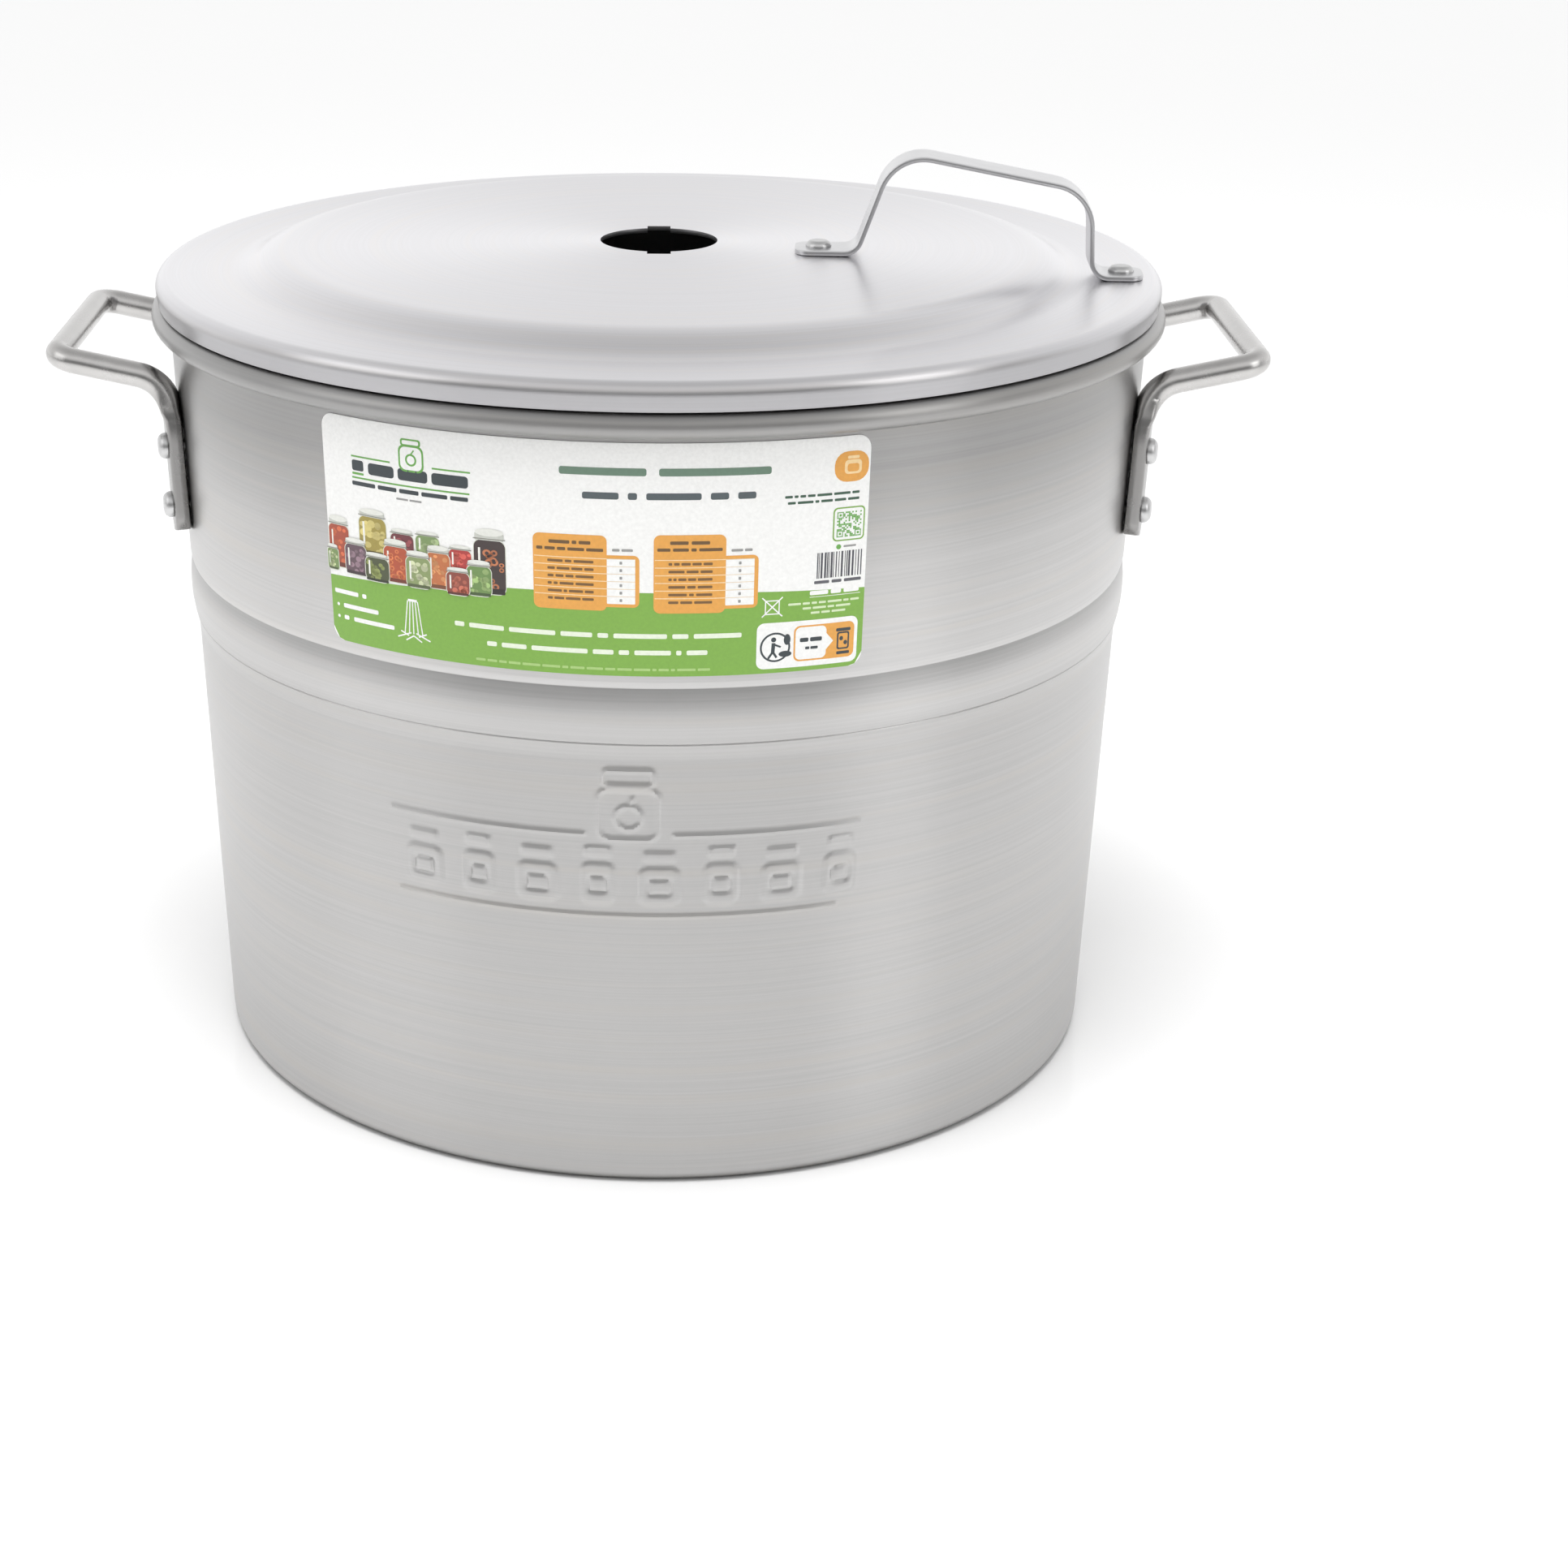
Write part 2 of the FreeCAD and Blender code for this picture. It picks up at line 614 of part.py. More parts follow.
def make_column_ring(label, radius, low, thickness, rounding=None):
    """Flat ring that the rail ends are welded to; the upper one has a rounded top."""
    body = new_body(label)
    section = new_sketch(body, "ring_profile", "XZ_Plane")
    inner, outer = f"{radius} - ring_width / 2", f"{radius} + ring_width / 2"
    high = f"{low} + {thickness}"
    top = [(outer, high), (inner, high)]
    if rounding:
        top = [(*corner, rounding) for corner in top]
    outline(section, [(inner, low), (outer, low), *top])
    revolve(body, "ring", section)
    return body


def lean(feature, length):
    """Run a pad along the rails' slope instead of straight up."""
    feature.UseCustomVector = True
    feature.AlongSketchNormal = True
    feature.Direction = vector(value(RAIL_SLOPE), 0, 1)
    bind(feature, Length=length, Direction__x=RAIL_SLOPE)


def make_rail(index):
    """One round rail of the column, leaning in towards the top."""
    body = new_body(f"column_rail_{index + 1}")
    section = new_sketch(body, "rail_section", "XY_Plane", z=RAIL_LOW_Z)
    circle(section, "column_base_radius", "0", "rail_radius")
    rail = pad(body, "rail", section, f"{RAIL_HIGH_Z} - {RAIL_LOW_Z}")
    lean(rail, f"{RAIL_HIGH_Z} - {RAIL_LOW_Z}")
    turn_about_axis(body, index)
    return body


def turn_about_axis(body, index):
    body.Placement = placement(vector(), rotation(vector(0, 0, 1), 1))
    bind(body, Placement__Rotation__Angle=f"rail_start_angle + {index * 360 // RAILS}")


def make_spring(index):
    """Waved spring strip on a collar that slides along its rail; it presses a jar down."""
    body = new_body(f"spring_{index + 1}")
    rail_x = f"(column_base_radius + slide_gap * {RAIL_SLOPE})"
    outer_radius = "(rail_radius + slide_gap + collar_wall)"
    tube = new_sketch(body, "collar_section", "XY_Plane", z=COLLAR_Z)
    circle(tube, rail_x, "0", outer_radius)
    collar = pad(body, "collar", tube, "collar_height")
    lean(collar, "collar_height")
    root_x = f"({rail_x} + {outer_radius} - collar_wall / 2)"
    root_z = f"({COLLAR_Z} + collar_height / 2)"
    run = f"(({SPRING_TIP} - {root_x}) / {STRIP_RUNS})"
    path = new_sketch(body, "strip_path", "XZ_Plane")
    crest, trough = f"{root_z} + strip_wave", f"{root_z} - strip_dip"
    outline(path, [
        (root_x, root_z),
        (f"{root_x} + {run}", crest, "strip_bend"),
        (f"{root_x} + 2 * {run}", trough, "strip_bend"),
        (f"{root_x} + 3 * {run}", crest, "strip_bend"),
        (f"{root_x} + 4 * {run}", trough, "strip_bend"),
        (SPRING_TIP, root_z),
    ], closed=False)
    section = new_sketch(body, "strip_section", "YZ_Plane", z=root_x)
    half_width, half_sheet = "strip_width / 2", "strip_sheet / 2"
    outline(section, [
        (f"-{half_width}", f"{root_z} - {half_sheet}"),
        (half_width, f"{root_z} - {half_sheet}"),
        (half_width, f"{root_z} + {half_sheet}"),
        (f"-{half_width}", f"{root_z} + {half_sheet}"),
    ])
    pipe(body, "strip", section, path)
    bore = new_sketch(body, "bore_section", "XY_Plane", z=COLLAR_Z)
    circle(bore, rail_x, "0", "rail_radius + slide_gap")
    cut = drill(body, "bore", bore, "collar_height")
    cut.Reversed = False
    lean(cut, "collar_height")
    turn_about_axis(body, index)
    return body


# ------------------------------------------------------------------------------------- assemble
pieces = [
    make_pot_body(),
    make_side_handle("side_handle_right", 0),
    make_side_handle("side_handle_left", 180),
    make_side_rivets("side_handle_rivets_right", 0),
    make_side_rivets("side_handle_rivets_left", 180),
    make_label(),
    make_lid(),
    make_lid_handle(),
    make_lid_handle_rivets(),
    make_column_ring("column_base_ring", "column_base_radius", COLUMN_Z, "base_ring_sheet"),
    make_column_ring("column_top_ring", "column_top_radius", RAIL_HIGH_Z, "top_ring_height",
                     "top_ring_rounding"),
]
pieces += [make_rail(index) for index in range(RAILS)]
pieces += [make_spring(index) for index in range(RAILS)]
doc.recompute()

faults = [thing.Name for thing in doc.Objects if {"Invalid", "Error"} & set(thing.State)]
for piece in pieces:
    if piece.Shape.isNull() or not piece.Shape.isValid() or not piece.Shape.Solids:
        faults.append(piece.Label)
if faults:
    raise SystemExit("failed objects: " + ", ".join(faults))
for piece in pieces:
    box = piece.Shape.BoundBox
    print(f"{piece.Label:26s} solids {len(piece.Shape.Solids)} volume {piece.Shape.Volume:10.1f} "
          f"x {box.XMin:7.1f} {box.XMax:7.1f} y {box.YMin:7.1f} {box.YMax:7.1f} "
          f"z {box.ZMin:7.1f} {box.ZMax:7.1f}")
    piece.Shape.exportStep(f"parts/{piece.Label}.step")
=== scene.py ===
"""Looks of a tall aluminium jar canner: spun pot, domed lid, rod and strap handles, printed label.

Lengths are worked out in millimetres and turned into metres only when a mesh is made.
"""

import math

import bmesh
import bpy
import numpy as np
from mathutils import Matrix, Vector


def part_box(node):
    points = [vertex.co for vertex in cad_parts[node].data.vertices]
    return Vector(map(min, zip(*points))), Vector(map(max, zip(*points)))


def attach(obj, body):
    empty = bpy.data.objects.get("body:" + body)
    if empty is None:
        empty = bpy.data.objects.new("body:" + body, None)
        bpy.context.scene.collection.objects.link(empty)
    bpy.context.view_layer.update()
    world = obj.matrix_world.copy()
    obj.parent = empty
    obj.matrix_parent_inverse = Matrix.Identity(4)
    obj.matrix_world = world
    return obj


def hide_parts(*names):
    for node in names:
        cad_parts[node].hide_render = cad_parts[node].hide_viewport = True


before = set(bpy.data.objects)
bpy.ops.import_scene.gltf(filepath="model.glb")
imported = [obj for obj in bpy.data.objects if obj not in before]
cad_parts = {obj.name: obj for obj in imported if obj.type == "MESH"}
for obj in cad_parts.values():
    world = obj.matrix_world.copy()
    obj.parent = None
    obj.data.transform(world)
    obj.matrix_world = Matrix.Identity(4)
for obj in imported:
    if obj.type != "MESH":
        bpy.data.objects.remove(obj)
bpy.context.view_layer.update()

MM = 0.001
SAME_POINT = 2e-6
TURN = 2 * math.pi

# numbered sockets of a colour mix node
MIX_FIRST, MIX_SECOND, MIX_COLOUR = 6, 7, 2

# ---- sizes, from the frame and the maker
pot_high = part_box("pot_body")[1] / MM
lid_low, lid_high = (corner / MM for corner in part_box("lid"))
grip_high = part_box("side_handle_right")[1] / MM
film_low, film_high = (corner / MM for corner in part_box("label"))

# the pot, from its rolled rim down: R is a radius about the pot's axis and Z a height
RIM_TOP = pot_high.z
BEAD_HALF = 4.35
BEAD_R = pot_high.y - BEAD_HALF
BEAD_Z = RIM_TOP - BEAD_HALF
WALL = 2.0
FLOOR = 2.5
MOUTH_WALL = BEAD_R - BEAD_HALF + WALL
STEP_Z = RIM_TOP - 98.5
STEP_R = MOUTH_WALL - 3.3
STEP_TUCK = 0.5
STEP_TOP = STEP_Z + 2.4
BULGE_Z = STEP_Z - 13.9
BULGE_R = STEP_R + 1.15
GROOVE_Z = STEP_Z - 20.9
GROOVE_DEEP = 0.3
GROOVE_HALF = 0.35
CREASE_Z = STEP_Z - 25.9
CREASE_R = STEP_R - 2.0
BASE_R = STEP_R - 7.9
FOOT_ROUNDING = 5.0
CREASE_ROUNDING = 16.0
BULGE_ROUNDING = 50.0

# the lid and its notched hole
LID_R = lid_high.y
LID_FLAT = lid_high.z - 8.2
LID_SHEET = 1.8
SHOULDER_R = LID_R - 45.2
SHOULDER_Z = LID_FLAT + 7.3
RING_R = LID_R - 33.7
EDGE_ROUNDING = 4.6
HOLE_R = 22.6
HOLE_EASE_R = 46.0
NOTCH_HALF = 4.5
NOTCH_REACH = 26.6
SEAT_GAP = 0.3
SKIRT_GAP = 0.5

# handles and rivets
ROD_R = 4.75
FOOT_ASIDE = 50.0
FOOT_TURN = math.asin(FOOT_ASIDE / STEP_R)
FOOT_HALF_WIDE = 7.5
FOOT_HALF_THICK = 3.05
FOOT_OFF = 3.2
FOOT_END = 6.6
FOOT_FLAT_RUN = 37.0
FOOT_EASE_RUN = 22.0
FOOT_LOW_Z = 213.0
NECK_Z = 258.0
ELBOW_X, ELBOW_Z = 184.9, 270.6
GRIP_SLOPE = math.radians(11.3)
RIVET_ROWS = (RIM_TOP - 49.6, RIM_TOP - 72.6)
RIVET_SHANK_R = 2.4
RIVET_TAIL_R = 4.0
RIVET_TAIL_DEEP = 1.5


def wall_at(z):
    """Outer radius of the upper wall at a height: a straight line from the step to the rim."""
    return STEP_R + (z - STEP_Z) * (MOUTH_WALL - STEP_R) / (BEAD_Z - STEP_Z)


# ---- surface workshop
def rounded(corners, steps=7):
    """Path through corners (point..., radius), a straight run between each two.

    A corner with a radius becomes an arc: its centre lies on the bisector at radius over the sine
    of the half angle, and its points are the great-circle blend of the first and last spoke.
    """
    points = np.array([corner[:-1] for corner in corners], float)
    runs = []
    for i, corner in enumerate(corners):
        radius = corner[-1]
        here = points[i]
        if not radius:
            runs.append(here[None])
            continue
        back = points[i - 1] - here
        ahead = points[(i + 1) % len(points)] - here
        back /= np.linalg.norm(back)
        ahead /= np.linalg.norm(ahead)
        half = math.acos(np.clip(back @ ahead, -1, 1)) / 2
        middle = here + (back + ahead) / np.linalg.norm(back + ahead) * radius / math.sin(half)
        first = here + back * radius / math.tan(half) - middle
        last = here + ahead * radius / math.tan(half) - middle
        sweep = math.pi - 2 * half
        share = np.linspace(0, 1, steps)[:, None]
        blend = (np.sin((1 - share) * sweep) * first + np.sin(share * sweep) * last) / math.sin(sweep)
        runs.append(middle + blend)
    return np.concatenate(runs)


def run_lengths(path):
    """Distance along a path to each of its points: the running sum of its steps."""
    return np.concatenate([[0], np.cumsum(np.linalg.norm(np.diff(path, axis=0), axis=1))])


def points_at(path, along, marks):
    """The points of a path at the given distances, by straight interpolation between its own."""
    return np.stack([np.interp(marks, along, path[:, k]) for k in range(path.shape[1])], 1)


def spaced(path, gap):
    """The same path with points added so that none are further apart than gap."""
    too_near = gap * 0.02
    along = run_lengths(path)
    marks = np.union1d(along, np.arange(0, along[-1], gap))
    marks = marks[np.concatenate([[True], np.diff(marks) > too_near])]
    return points_at(path, along, marks)


def dense_ends(path, reach):
    """The same path with more points within reach of both ends, and its distances along."""
    along = run_lengths(path)
    tips = reach * (1 - np.cos(np.linspace(0, math.pi / 2, 12)))
    marks = np.union1d(along, np.concatenate([tips, along[-1] - tips]))
    return points_at(path, along, marks), marks


def with_heights(path, heights):
    """A path that climbs all the way, with more points where it passes the given heights."""
    climb = np.union1d(path[:, 1], heights)
    return np.stack([np.interp(climb, path[:, 1], path[:, 0]), climb], 1)


def turned(profile, angles, radius_of):
    """A (radius, height) profile carried round the Z axis: x = r sin a, y = -r cos a, z = height.

    radius_of changes the profile's radii r at the turns a before they are carried round.
    """
    radius = radius_of(np.repeat(profile[:, :1], len(angles), 1), angles)
    height = np.repeat(profile[:, 1:2], len(angles), 1)
    return np.stack([radius * np.sin(angles), -radius * np.cos(angles), height], 2)


def carried(path, side, half_wide, half_thick, power, around):
    """A squircle carried along a path: |x / wide| ^ power + |y / thick| ^ power = 1 at each point.

    x runs along side and y along side cross tangent; both ends close on the path's own end point.
    """
    tangent = np.gradient(path, axis=0)
    tangent /= np.linalg.norm(tangent, axis=1)[:, None]
    side = side - tangent * np.sum(side * tangent, 1)[:, None]
    side /= np.linalg.norm(side, axis=1)[:, None]
    up = np.cross(side, tangent)
    turn = np.linspace(0, TURN, around, endpoint=False)[None]
    rise = 2 / np.broadcast_to(power, len(path))[:, None]
    across = np.sign(np.cos(turn)) * np.abs(np.cos(turn)) ** rise
    over = np.sign(np.sin(turn)) * np.abs(np.sin(turn)) ** rise
    across = across * np.broadcast_to(half_wide, len(path))[:, None]
    over = over * np.broadcast_to(half_thick, len(path))[:, None]
    grid = path[:, None] + across[..., None] * side[:, None] + over[..., None] * up[:, None]
    ends = [np.repeat(path[k][None, None], around, 1) for k in (0, -1)]
    return np.concatenate([ends[0], grid, ends[1]])


def cells(rows, columns, wrap):
    """Corner numbers of each cell of a grid; with wrap the last column joins the first."""
    number = np.arange(rows * columns).reshape(rows, columns)
    if wrap:
        number = np.concatenate([number, number[:, :1]], 1)
    corners = (number[:-1, :-1], number[:-1, 1:], number[1:, 1:], number[1:, :-1])
    return np.stack([corner.ravel() for corner in corners], 1)


def inside_out(points, faces):
    """True where the faces wind inwards: the volume by the divergence theorem is below zero."""
    a, b, c, d = (points[faces[:, k]] for k in range(4))
    return np.sum(np.cross(a, b) * c + np.cross(a, c) * d) < 0


def make_piece(name, grids, body, look, wrap=True, crease=32.0, stands_for=(), ink=None):
    """One mesh from grids of points in millimetres; each closed grid is turned to face outwards.

    wrap joins the last column of each grid to its first; crease is the angle of a sharp edge.
    """
    points, faces, start = [], [], 0
    for grid in grids:
        flat = grid.reshape(-1, 3) * MM
        quads = cells(grid.shape[0], grid.shape[1], wrap)
        if wrap and inside_out(flat, quads):
            quads = quads[:, ::-1]
        points.append(flat)
        faces.append(quads + start)
        start += len(flat)
    mesh = bpy.data.meshes.new(name)
    mesh.from_pydata(np.concatenate(points), [], np.concatenate(faces).tolist())
    if ink is not None:
        paint = mesh.attributes.new("ink", "FLOAT_COLOR", "POINT")
        paint.data.foreach_set("color", np.concatenate(ink).astype(np.float32).ravel())
    if wrap:
        shape = bmesh.new()
        shape.from_mesh(mesh)
        bmesh.ops.remove_doubles(shape, verts=shape.verts, dist=SAME_POINT)
        shape.to_mesh(mesh)
        shape.free()
    mesh.shade_smooth()
    mesh.set_sharp_from_angle(angle=math.radians(crease))
    mesh.materials.append(look)
    piece = bpy.data.objects.new(name, mesh)
    bpy.context.scene.collection.objects.link(piece)
    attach(piece, body)
    if stands_for:
        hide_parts(*stands_for)


# ---- finishes
def paint_box(name):
    """A new material with its shader and a function that adds nodes to it."""
    look = bpy.data.materials.new(name)
    look.use_nodes = True
    tree = look.node_tree
    shader = next(node for node in tree.nodes if node.type == "BSDF_PRINCIPLED")

    def add(kind, inputs=(), **settings):
        node = tree.nodes.new(kind)
        for key, setting in settings.items():
            setattr(node, key, setting)
        for key, source in dict(inputs).items():
            if isinstance(source, bpy.types.NodeSocket):
                tree.links.new(source, node.inputs[key])
            else:
                node.inputs[key].default_value = source
        return node

    return look, tree, shader, add


def maths(add, operation, first, second=0.0):
    """One step of arithmetic on two values."""
    return add("ShaderNodeMath", {0: first, 1: second}, operation=operation).outputs[0]


def span(add, source, low, high, to_low, to_high):
    """The source stretched from low..high to to_low..to_high, and held at both ends."""
    limits = {"Value": source, "From Min": low, "From Max": high, "To Min": to_low, "To Max": to_high}
    return add("ShaderNodeMapRange", limits).outputs["Result"]


def shared(add, first, second, share):
    """Two values added together, the first by its share and the second by the rest."""
    parts = (maths(add, "MULTIPLY", first, share), maths(add, "MULTIPLY", second, 1 - share))
    return maths(add, "ADD", *parts)


def tint(add, share, first, second):
    """A colour between two, by a share from 0 to 1."""
    colours = {0: share, MIX_FIRST: (*first, 1), MIX_SECOND: (*second, 1)}
    return add("ShaderNodeMix", colours, data_type="RGBA").outputs[MIX_COLOUR]


def toned(add, colour, share):
    """A colour scaled by a share."""
    return add("ShaderNodeVectorMath", {0: colour, "Scale": share}, operation="SCALE").outputs[0]


def noise(add, place, scale, detail):
    """Cloudy noise from about 0.3 to 0.7."""
    return add("ShaderNodeTexNoise", {"Vector": place, "Scale": scale, "Detail": detail}).outputs["Fac"]


def bumped(add, height, strength, deep):
    """The surface leaned by the slope of a height, where a height of one is deep metres."""
    return add("ShaderNodeBump", {"Strength": strength, "Distance": deep, "Height": height}).outputs[0]


def spun_metal(name, light, dark, rough, streak, tool_lines, lean, painted_light_bands):
    """Lathe-turned aluminium: rings that depend on radius minus height, broken along their length.

    streak is the share of fine rings, tool_lines the bump and lean the anisotropy. The last
    argument lists (low, high, share) bands of painted light: from the low to the high height the tone
    eases to that share of itself, painting shade and highlight onto the metal by height.
    """
    look, tree, shader, add = paint_box(name)
    place = add("ShaderNodeTexCoord").outputs["Object"]
    x, y, z = add("ShaderNodeSeparateXYZ", {0: place}).outputs
    squares = (maths(add, "MULTIPLY", side, side) for side in (x, y))
    radius = maths(add, "SQRT", maths(add, "ADD", *squares))
    along = maths(add, "SUBTRACT", radius, z)

    def rings(spread, pitch, detail):
        vector = add("ShaderNodeCombineXYZ", {
            0: maths(add, "MULTIPLY", x, spread),
            1: maths(add, "MULTIPLY", y, spread),
            2: maths(add, "MULTIPLY", along, 1 / pitch),
        }).outputs[0]
        return noise(add, vector, 1.0, detail)

    fine = rings(spread=5.0, pitch=0.8 * MM, detail=2.0)
    broad = rings(spread=2.5, pitch=4.5 * MM, detail=4.0)
    cloud = noise(add, place, 7.0, 3.0)
    mixed = shared(add, fine, broad, streak)
    metal = tint(add, span(add, mixed, 0.34, 0.66, 0.0, 1.0), dark, light)
    warm_tone = (light[0], light[1] * 0.965, light[2] * 0.91, 1)
    warm = {0: span(add, broad, 0.50, 0.72, 0.0, 0.4), MIX_FIRST: metal, MIX_SECOND: warm_tone}
    metal = add("ShaderNodeMix", warm, data_type="RGBA").outputs[MIX_COLOUR]
    # painted light: each band scales the tone by height to paint shade or highlight
    for low, high, kept in painted_light_bands:
        metal = toned(add, metal, span(add, z, low * MM, high * MM, 1.0, kept))
    tree.links.new(metal, shader.inputs["Base Color"])
    worn = shared(add, mixed, cloud, 0.7)
    tree.links.new(span(add, worn, 0.3, 0.7, *rough), shader.inputs["Roughness"])
    tree.links.new(bumped(add, mixed, tool_lines, 0.1 * MM), shader.inputs["Normal"])
    grain = add("ShaderNodeTangent", direction_type="RADIAL", axis="Z")
    tree.links.new(grain.outputs[0], shader.inputs["Tangent"])
    shader.inputs["Metallic"].default_value = 1.0
    shader.inputs["Anisotropic"].default_value = lean
    shader.inputs["Anisotropic Rotation"].default_value = 0.25
    return look


def worked_metal(name, light, dark, rough, grain, dents, stretch=(1, 1, 1), painted_height_shade=()):
    """Drawn or pressed metal: stretched noise for the drawing lines over soft tumbling marks.

    The last argument, (low, high, share), is painted shade: the tone rises to that share of itself between
    the two heights, so the metal below them is painted darker than above.
    """
    look, tree, shader, add = paint_box(name)
    place = add("ShaderNodeTexCoord").outputs["Object"]
    drawn = add("ShaderNodeMapping", {"Vector": place, "Scale": stretch}).outputs[0]
    lines = noise(add, drawn, grain, 4.0)
    marks = noise(add, place, 180.0, 2.0)
    mixed = shared(add, lines, marks, 0.55)
    metal = tint(add, span(add, mixed, 0.36, 0.64, 0.0, 1.0), dark, light)
    # painted shade: the tone is darker below the low height than above the high one
    if painted_height_shade:
        low, high, kept = painted_height_shade
        height = add("ShaderNodeSeparateXYZ", {0: place}).outputs["Z"]
        metal = toned(add, metal, span(add, height, low * MM, high * MM, 1.0, kept))
    tree.links.new(metal, shader.inputs["Base Color"])
    tree.links.new(span(add, marks, 0.35, 0.65, *rough), shader.inputs["Roughness"])
    tree.links.new(bumped(add, mixed, dents, 0.2 * MM), shader.inputs["Normal"])
    shader.inputs["Metallic"].default_value = 1.0
    return look


def printed_film():
    """Printed label film: the inks of the ink attribute with a faint press grain and satin coat."""
    look, tree, shader, add = paint_box("printed_film")
    place = add("ShaderNodeTexCoord").outputs["Object"]
    grain = noise(add, place, 900.0, 2.0)
    inks = add("ShaderNodeAttribute", attribute_name="ink").outputs["Color"]
    colour = toned(add, inks, span(add, grain, 0.3, 0.7, 0.95, 1.03))
    tree.links.new(colour, shader.inputs["Base Color"])
    tree.links.new(span(add, grain, 0.3, 0.7, 0.30, 0.42), shader.inputs["Roughness"])
    ripple = noise(add, place, 22.0, 1.0)
    tree.links.new(bumped(add, ripple, 0.12, MM), shader.inputs["Normal"])
    shader.inputs["Coat Weight"].default_value = 0.25
    shader.inputs["Coat Roughness"].default_value = 0.18
    return look


POT_METAL = spun_metal(
    "spun_pot_metal", light=(0.257, 0.254, 0.252), dark=(0.231, 0.229, 0.227), rough=(0.32, 0.42),
    streak=0.76, tool_lines=0.09, lean=0.65,
    # painted light by height: shade at the foot, lighter above the groove, a painted shadow under the step
    # and painted shade deepening up the upper wall towards the rim
    painted_light_bands=(
        (1.0, 4.5, 2.0),
        (GROOVE_Z, GROOVE_Z + 6, 1.10),
        (STEP_Z - 9, STEP_Z, 0.72),
        (STEP_Z, STEP_Z + 0.3, 1.47),
        (STEP_Z, STEP_Z + 43, 0.89),
        (STEP_Z + 40, RIM_TOP - 22, 0.68),
    ))
# painted shade: the lid is painted darker below its flat top, over the lower rounded edge, flange and
# skirt
LID_METAL = spun_metal(
    "spun_lid_metal", light=(0.467, 0.463, 0.476), dark=(0.436, 0.432, 0.443), rough=(0.27, 0.35),
    streak=0.7, tool_lines=0.04, lean=0.6, painted_light_bands=((LID_FLAT - 4.6, LID_FLAT - 0.2, 1.62),))
# painted shade: the rod's feet below the rim are painted darker than its grips above
ROD_METAL = worked_metal(
    "tumbled_rod", light=(0.315, 0.31, 0.305), dark=(0.285, 0.28, 0.275), rough=(0.24, 0.28),
    grain=40.0, dents=0.006, painted_height_shade=(RIM_TOP - 44, RIM_TOP - 26, 1.8))
STRAP_METAL = worked_metal(
    "satin_strap", light=(0.64, 0.64, 0.65), dark=(0.61, 0.61, 0.62), rough=(0.28, 0.32),
    grain=300.0, dents=0.006, stretch=(0.1, 1, 1))
RIVET_METAL = worked_metal(
    "pressed_rivets", light=(0.60, 0.60, 0.60), dark=(0.54, 0.54, 0.54), rough=(0.30, 0.36),
    grain=120.0, dents=0.03)
COLUMN_STEEL = worked_metal(
    "drawn_column_wire", light=(0.62, 0.62, 0.63), dark=(0.54, 0.54, 0.55), rough=(0.22, 0.30),
    grain=300.0, dents=0.01, stretch=(1, 1, 0.06))
SPRING_STEEL = worked_metal(
    "rolled_spring_strip", light=(0.60, 0.60, 0.61), dark=(0.54, 0.54, 0.55), rough=(0.24, 0.30),
    grain=300.0, dents=0.01)
FILM_PRINT = printed_film()


# ---- pot body
MOTIF_TURN = math.radians(-3.0)
MOTIF_R = 182.0
MOTIF_RISE = 0.55
MOTIF_EDGE = 0.9
MOTIF_HEIGHTS = (100, 173)
RULE_Z = 141.5
ROW_RULE_Z = 110
ROW_ENDS = 77
ROW_JARS = 8


def box_gap(s, z, middle_s, middle_z, half_s, half_z, corner):
    """Distance to a rounded rectangle: outside length of the clipped offsets less the corner."""
    ds = np.abs(s - middle_s) - half_s + corner
    dz = np.abs(z - middle_z) - half_z + corner
    return np.hypot(np.maximum(ds, 0), np.maximum(dz, 0)) + np.minimum(np.maximum(ds, dz), 0) - corner


def line_gap(s, z, start, end, half):
    """Distance to a round-ended line: from each point to its nearest point of the run."""
    run = np.subtract(end, start)
    share = np.clip(((s - start[0]) * run[0] + (z - start[1]) * run[1]) / (run @ run), 0, 1)
    return np.hypot(s - start[0] - share * run[0], z - start[1] - share * run[1]) - half


def pressed_motif(s, z):
    """Height of the pressing on the lower wall: lines, a jar holding a fruit and a row of jars.

    Each shape is a distance in the (arc length, height) plane; the rise is a smooth step over it.
    """
    row_rule = line_gap(s, z, (-88, ROW_RULE_Z), (76, ROW_RULE_Z), 0.55)
    rules = [line_gap(s, z, (start, RULE_Z), (end, RULE_Z), 0.65) for start, end in ((-90, -16), (16, 84))]
    glass = np.abs(box_gap(s, z, 0, 149.4, 10.6, 9.6, 4.0)) - 0.75
    cover = np.abs(box_gap(s, z, 0, 163.3, 8.6, 2.9, 1.6)) - 0.7
    fruit = np.abs(np.hypot(s, (z - 148.2) * 1.05) - 4.6) - 0.7
    stalk = line_gap(s, z, (0.2, 152.4), (1.4, 155.6), 0.6)
    gap = np.minimum.reduce([row_rule, *rules, glass, cover, fruit, stalk])
    for number, place in enumerate(np.linspace(-ROW_ENDS, ROW_ENDS, ROW_JARS)):
        tall = 1.5 if number % 2 else 0.0
        jar = box_gap(s, z, place, 121.6 + tall / 2, 7.4 - tall * 0.9, 7.2 + tall / 2, 3.2)
        jar = np.minimum(jar, box_gap(s, z, place, 133.4 + tall, 5.6 - tall * 0.6, 1.9, 0.9))
        panel = np.abs(box_gap(s, z, place, 121.4 + tall / 2, 3.9 - tall * 0.5, 3.0, 1.4)) - 0.6
        gap = np.minimum(gap, np.maximum(jar, -panel))
    rise = np.clip(0.5 - gap / MOTIF_EDGE, 0, 1)
    return MOTIF_RISE * rise * rise * (3 - 2 * rise)


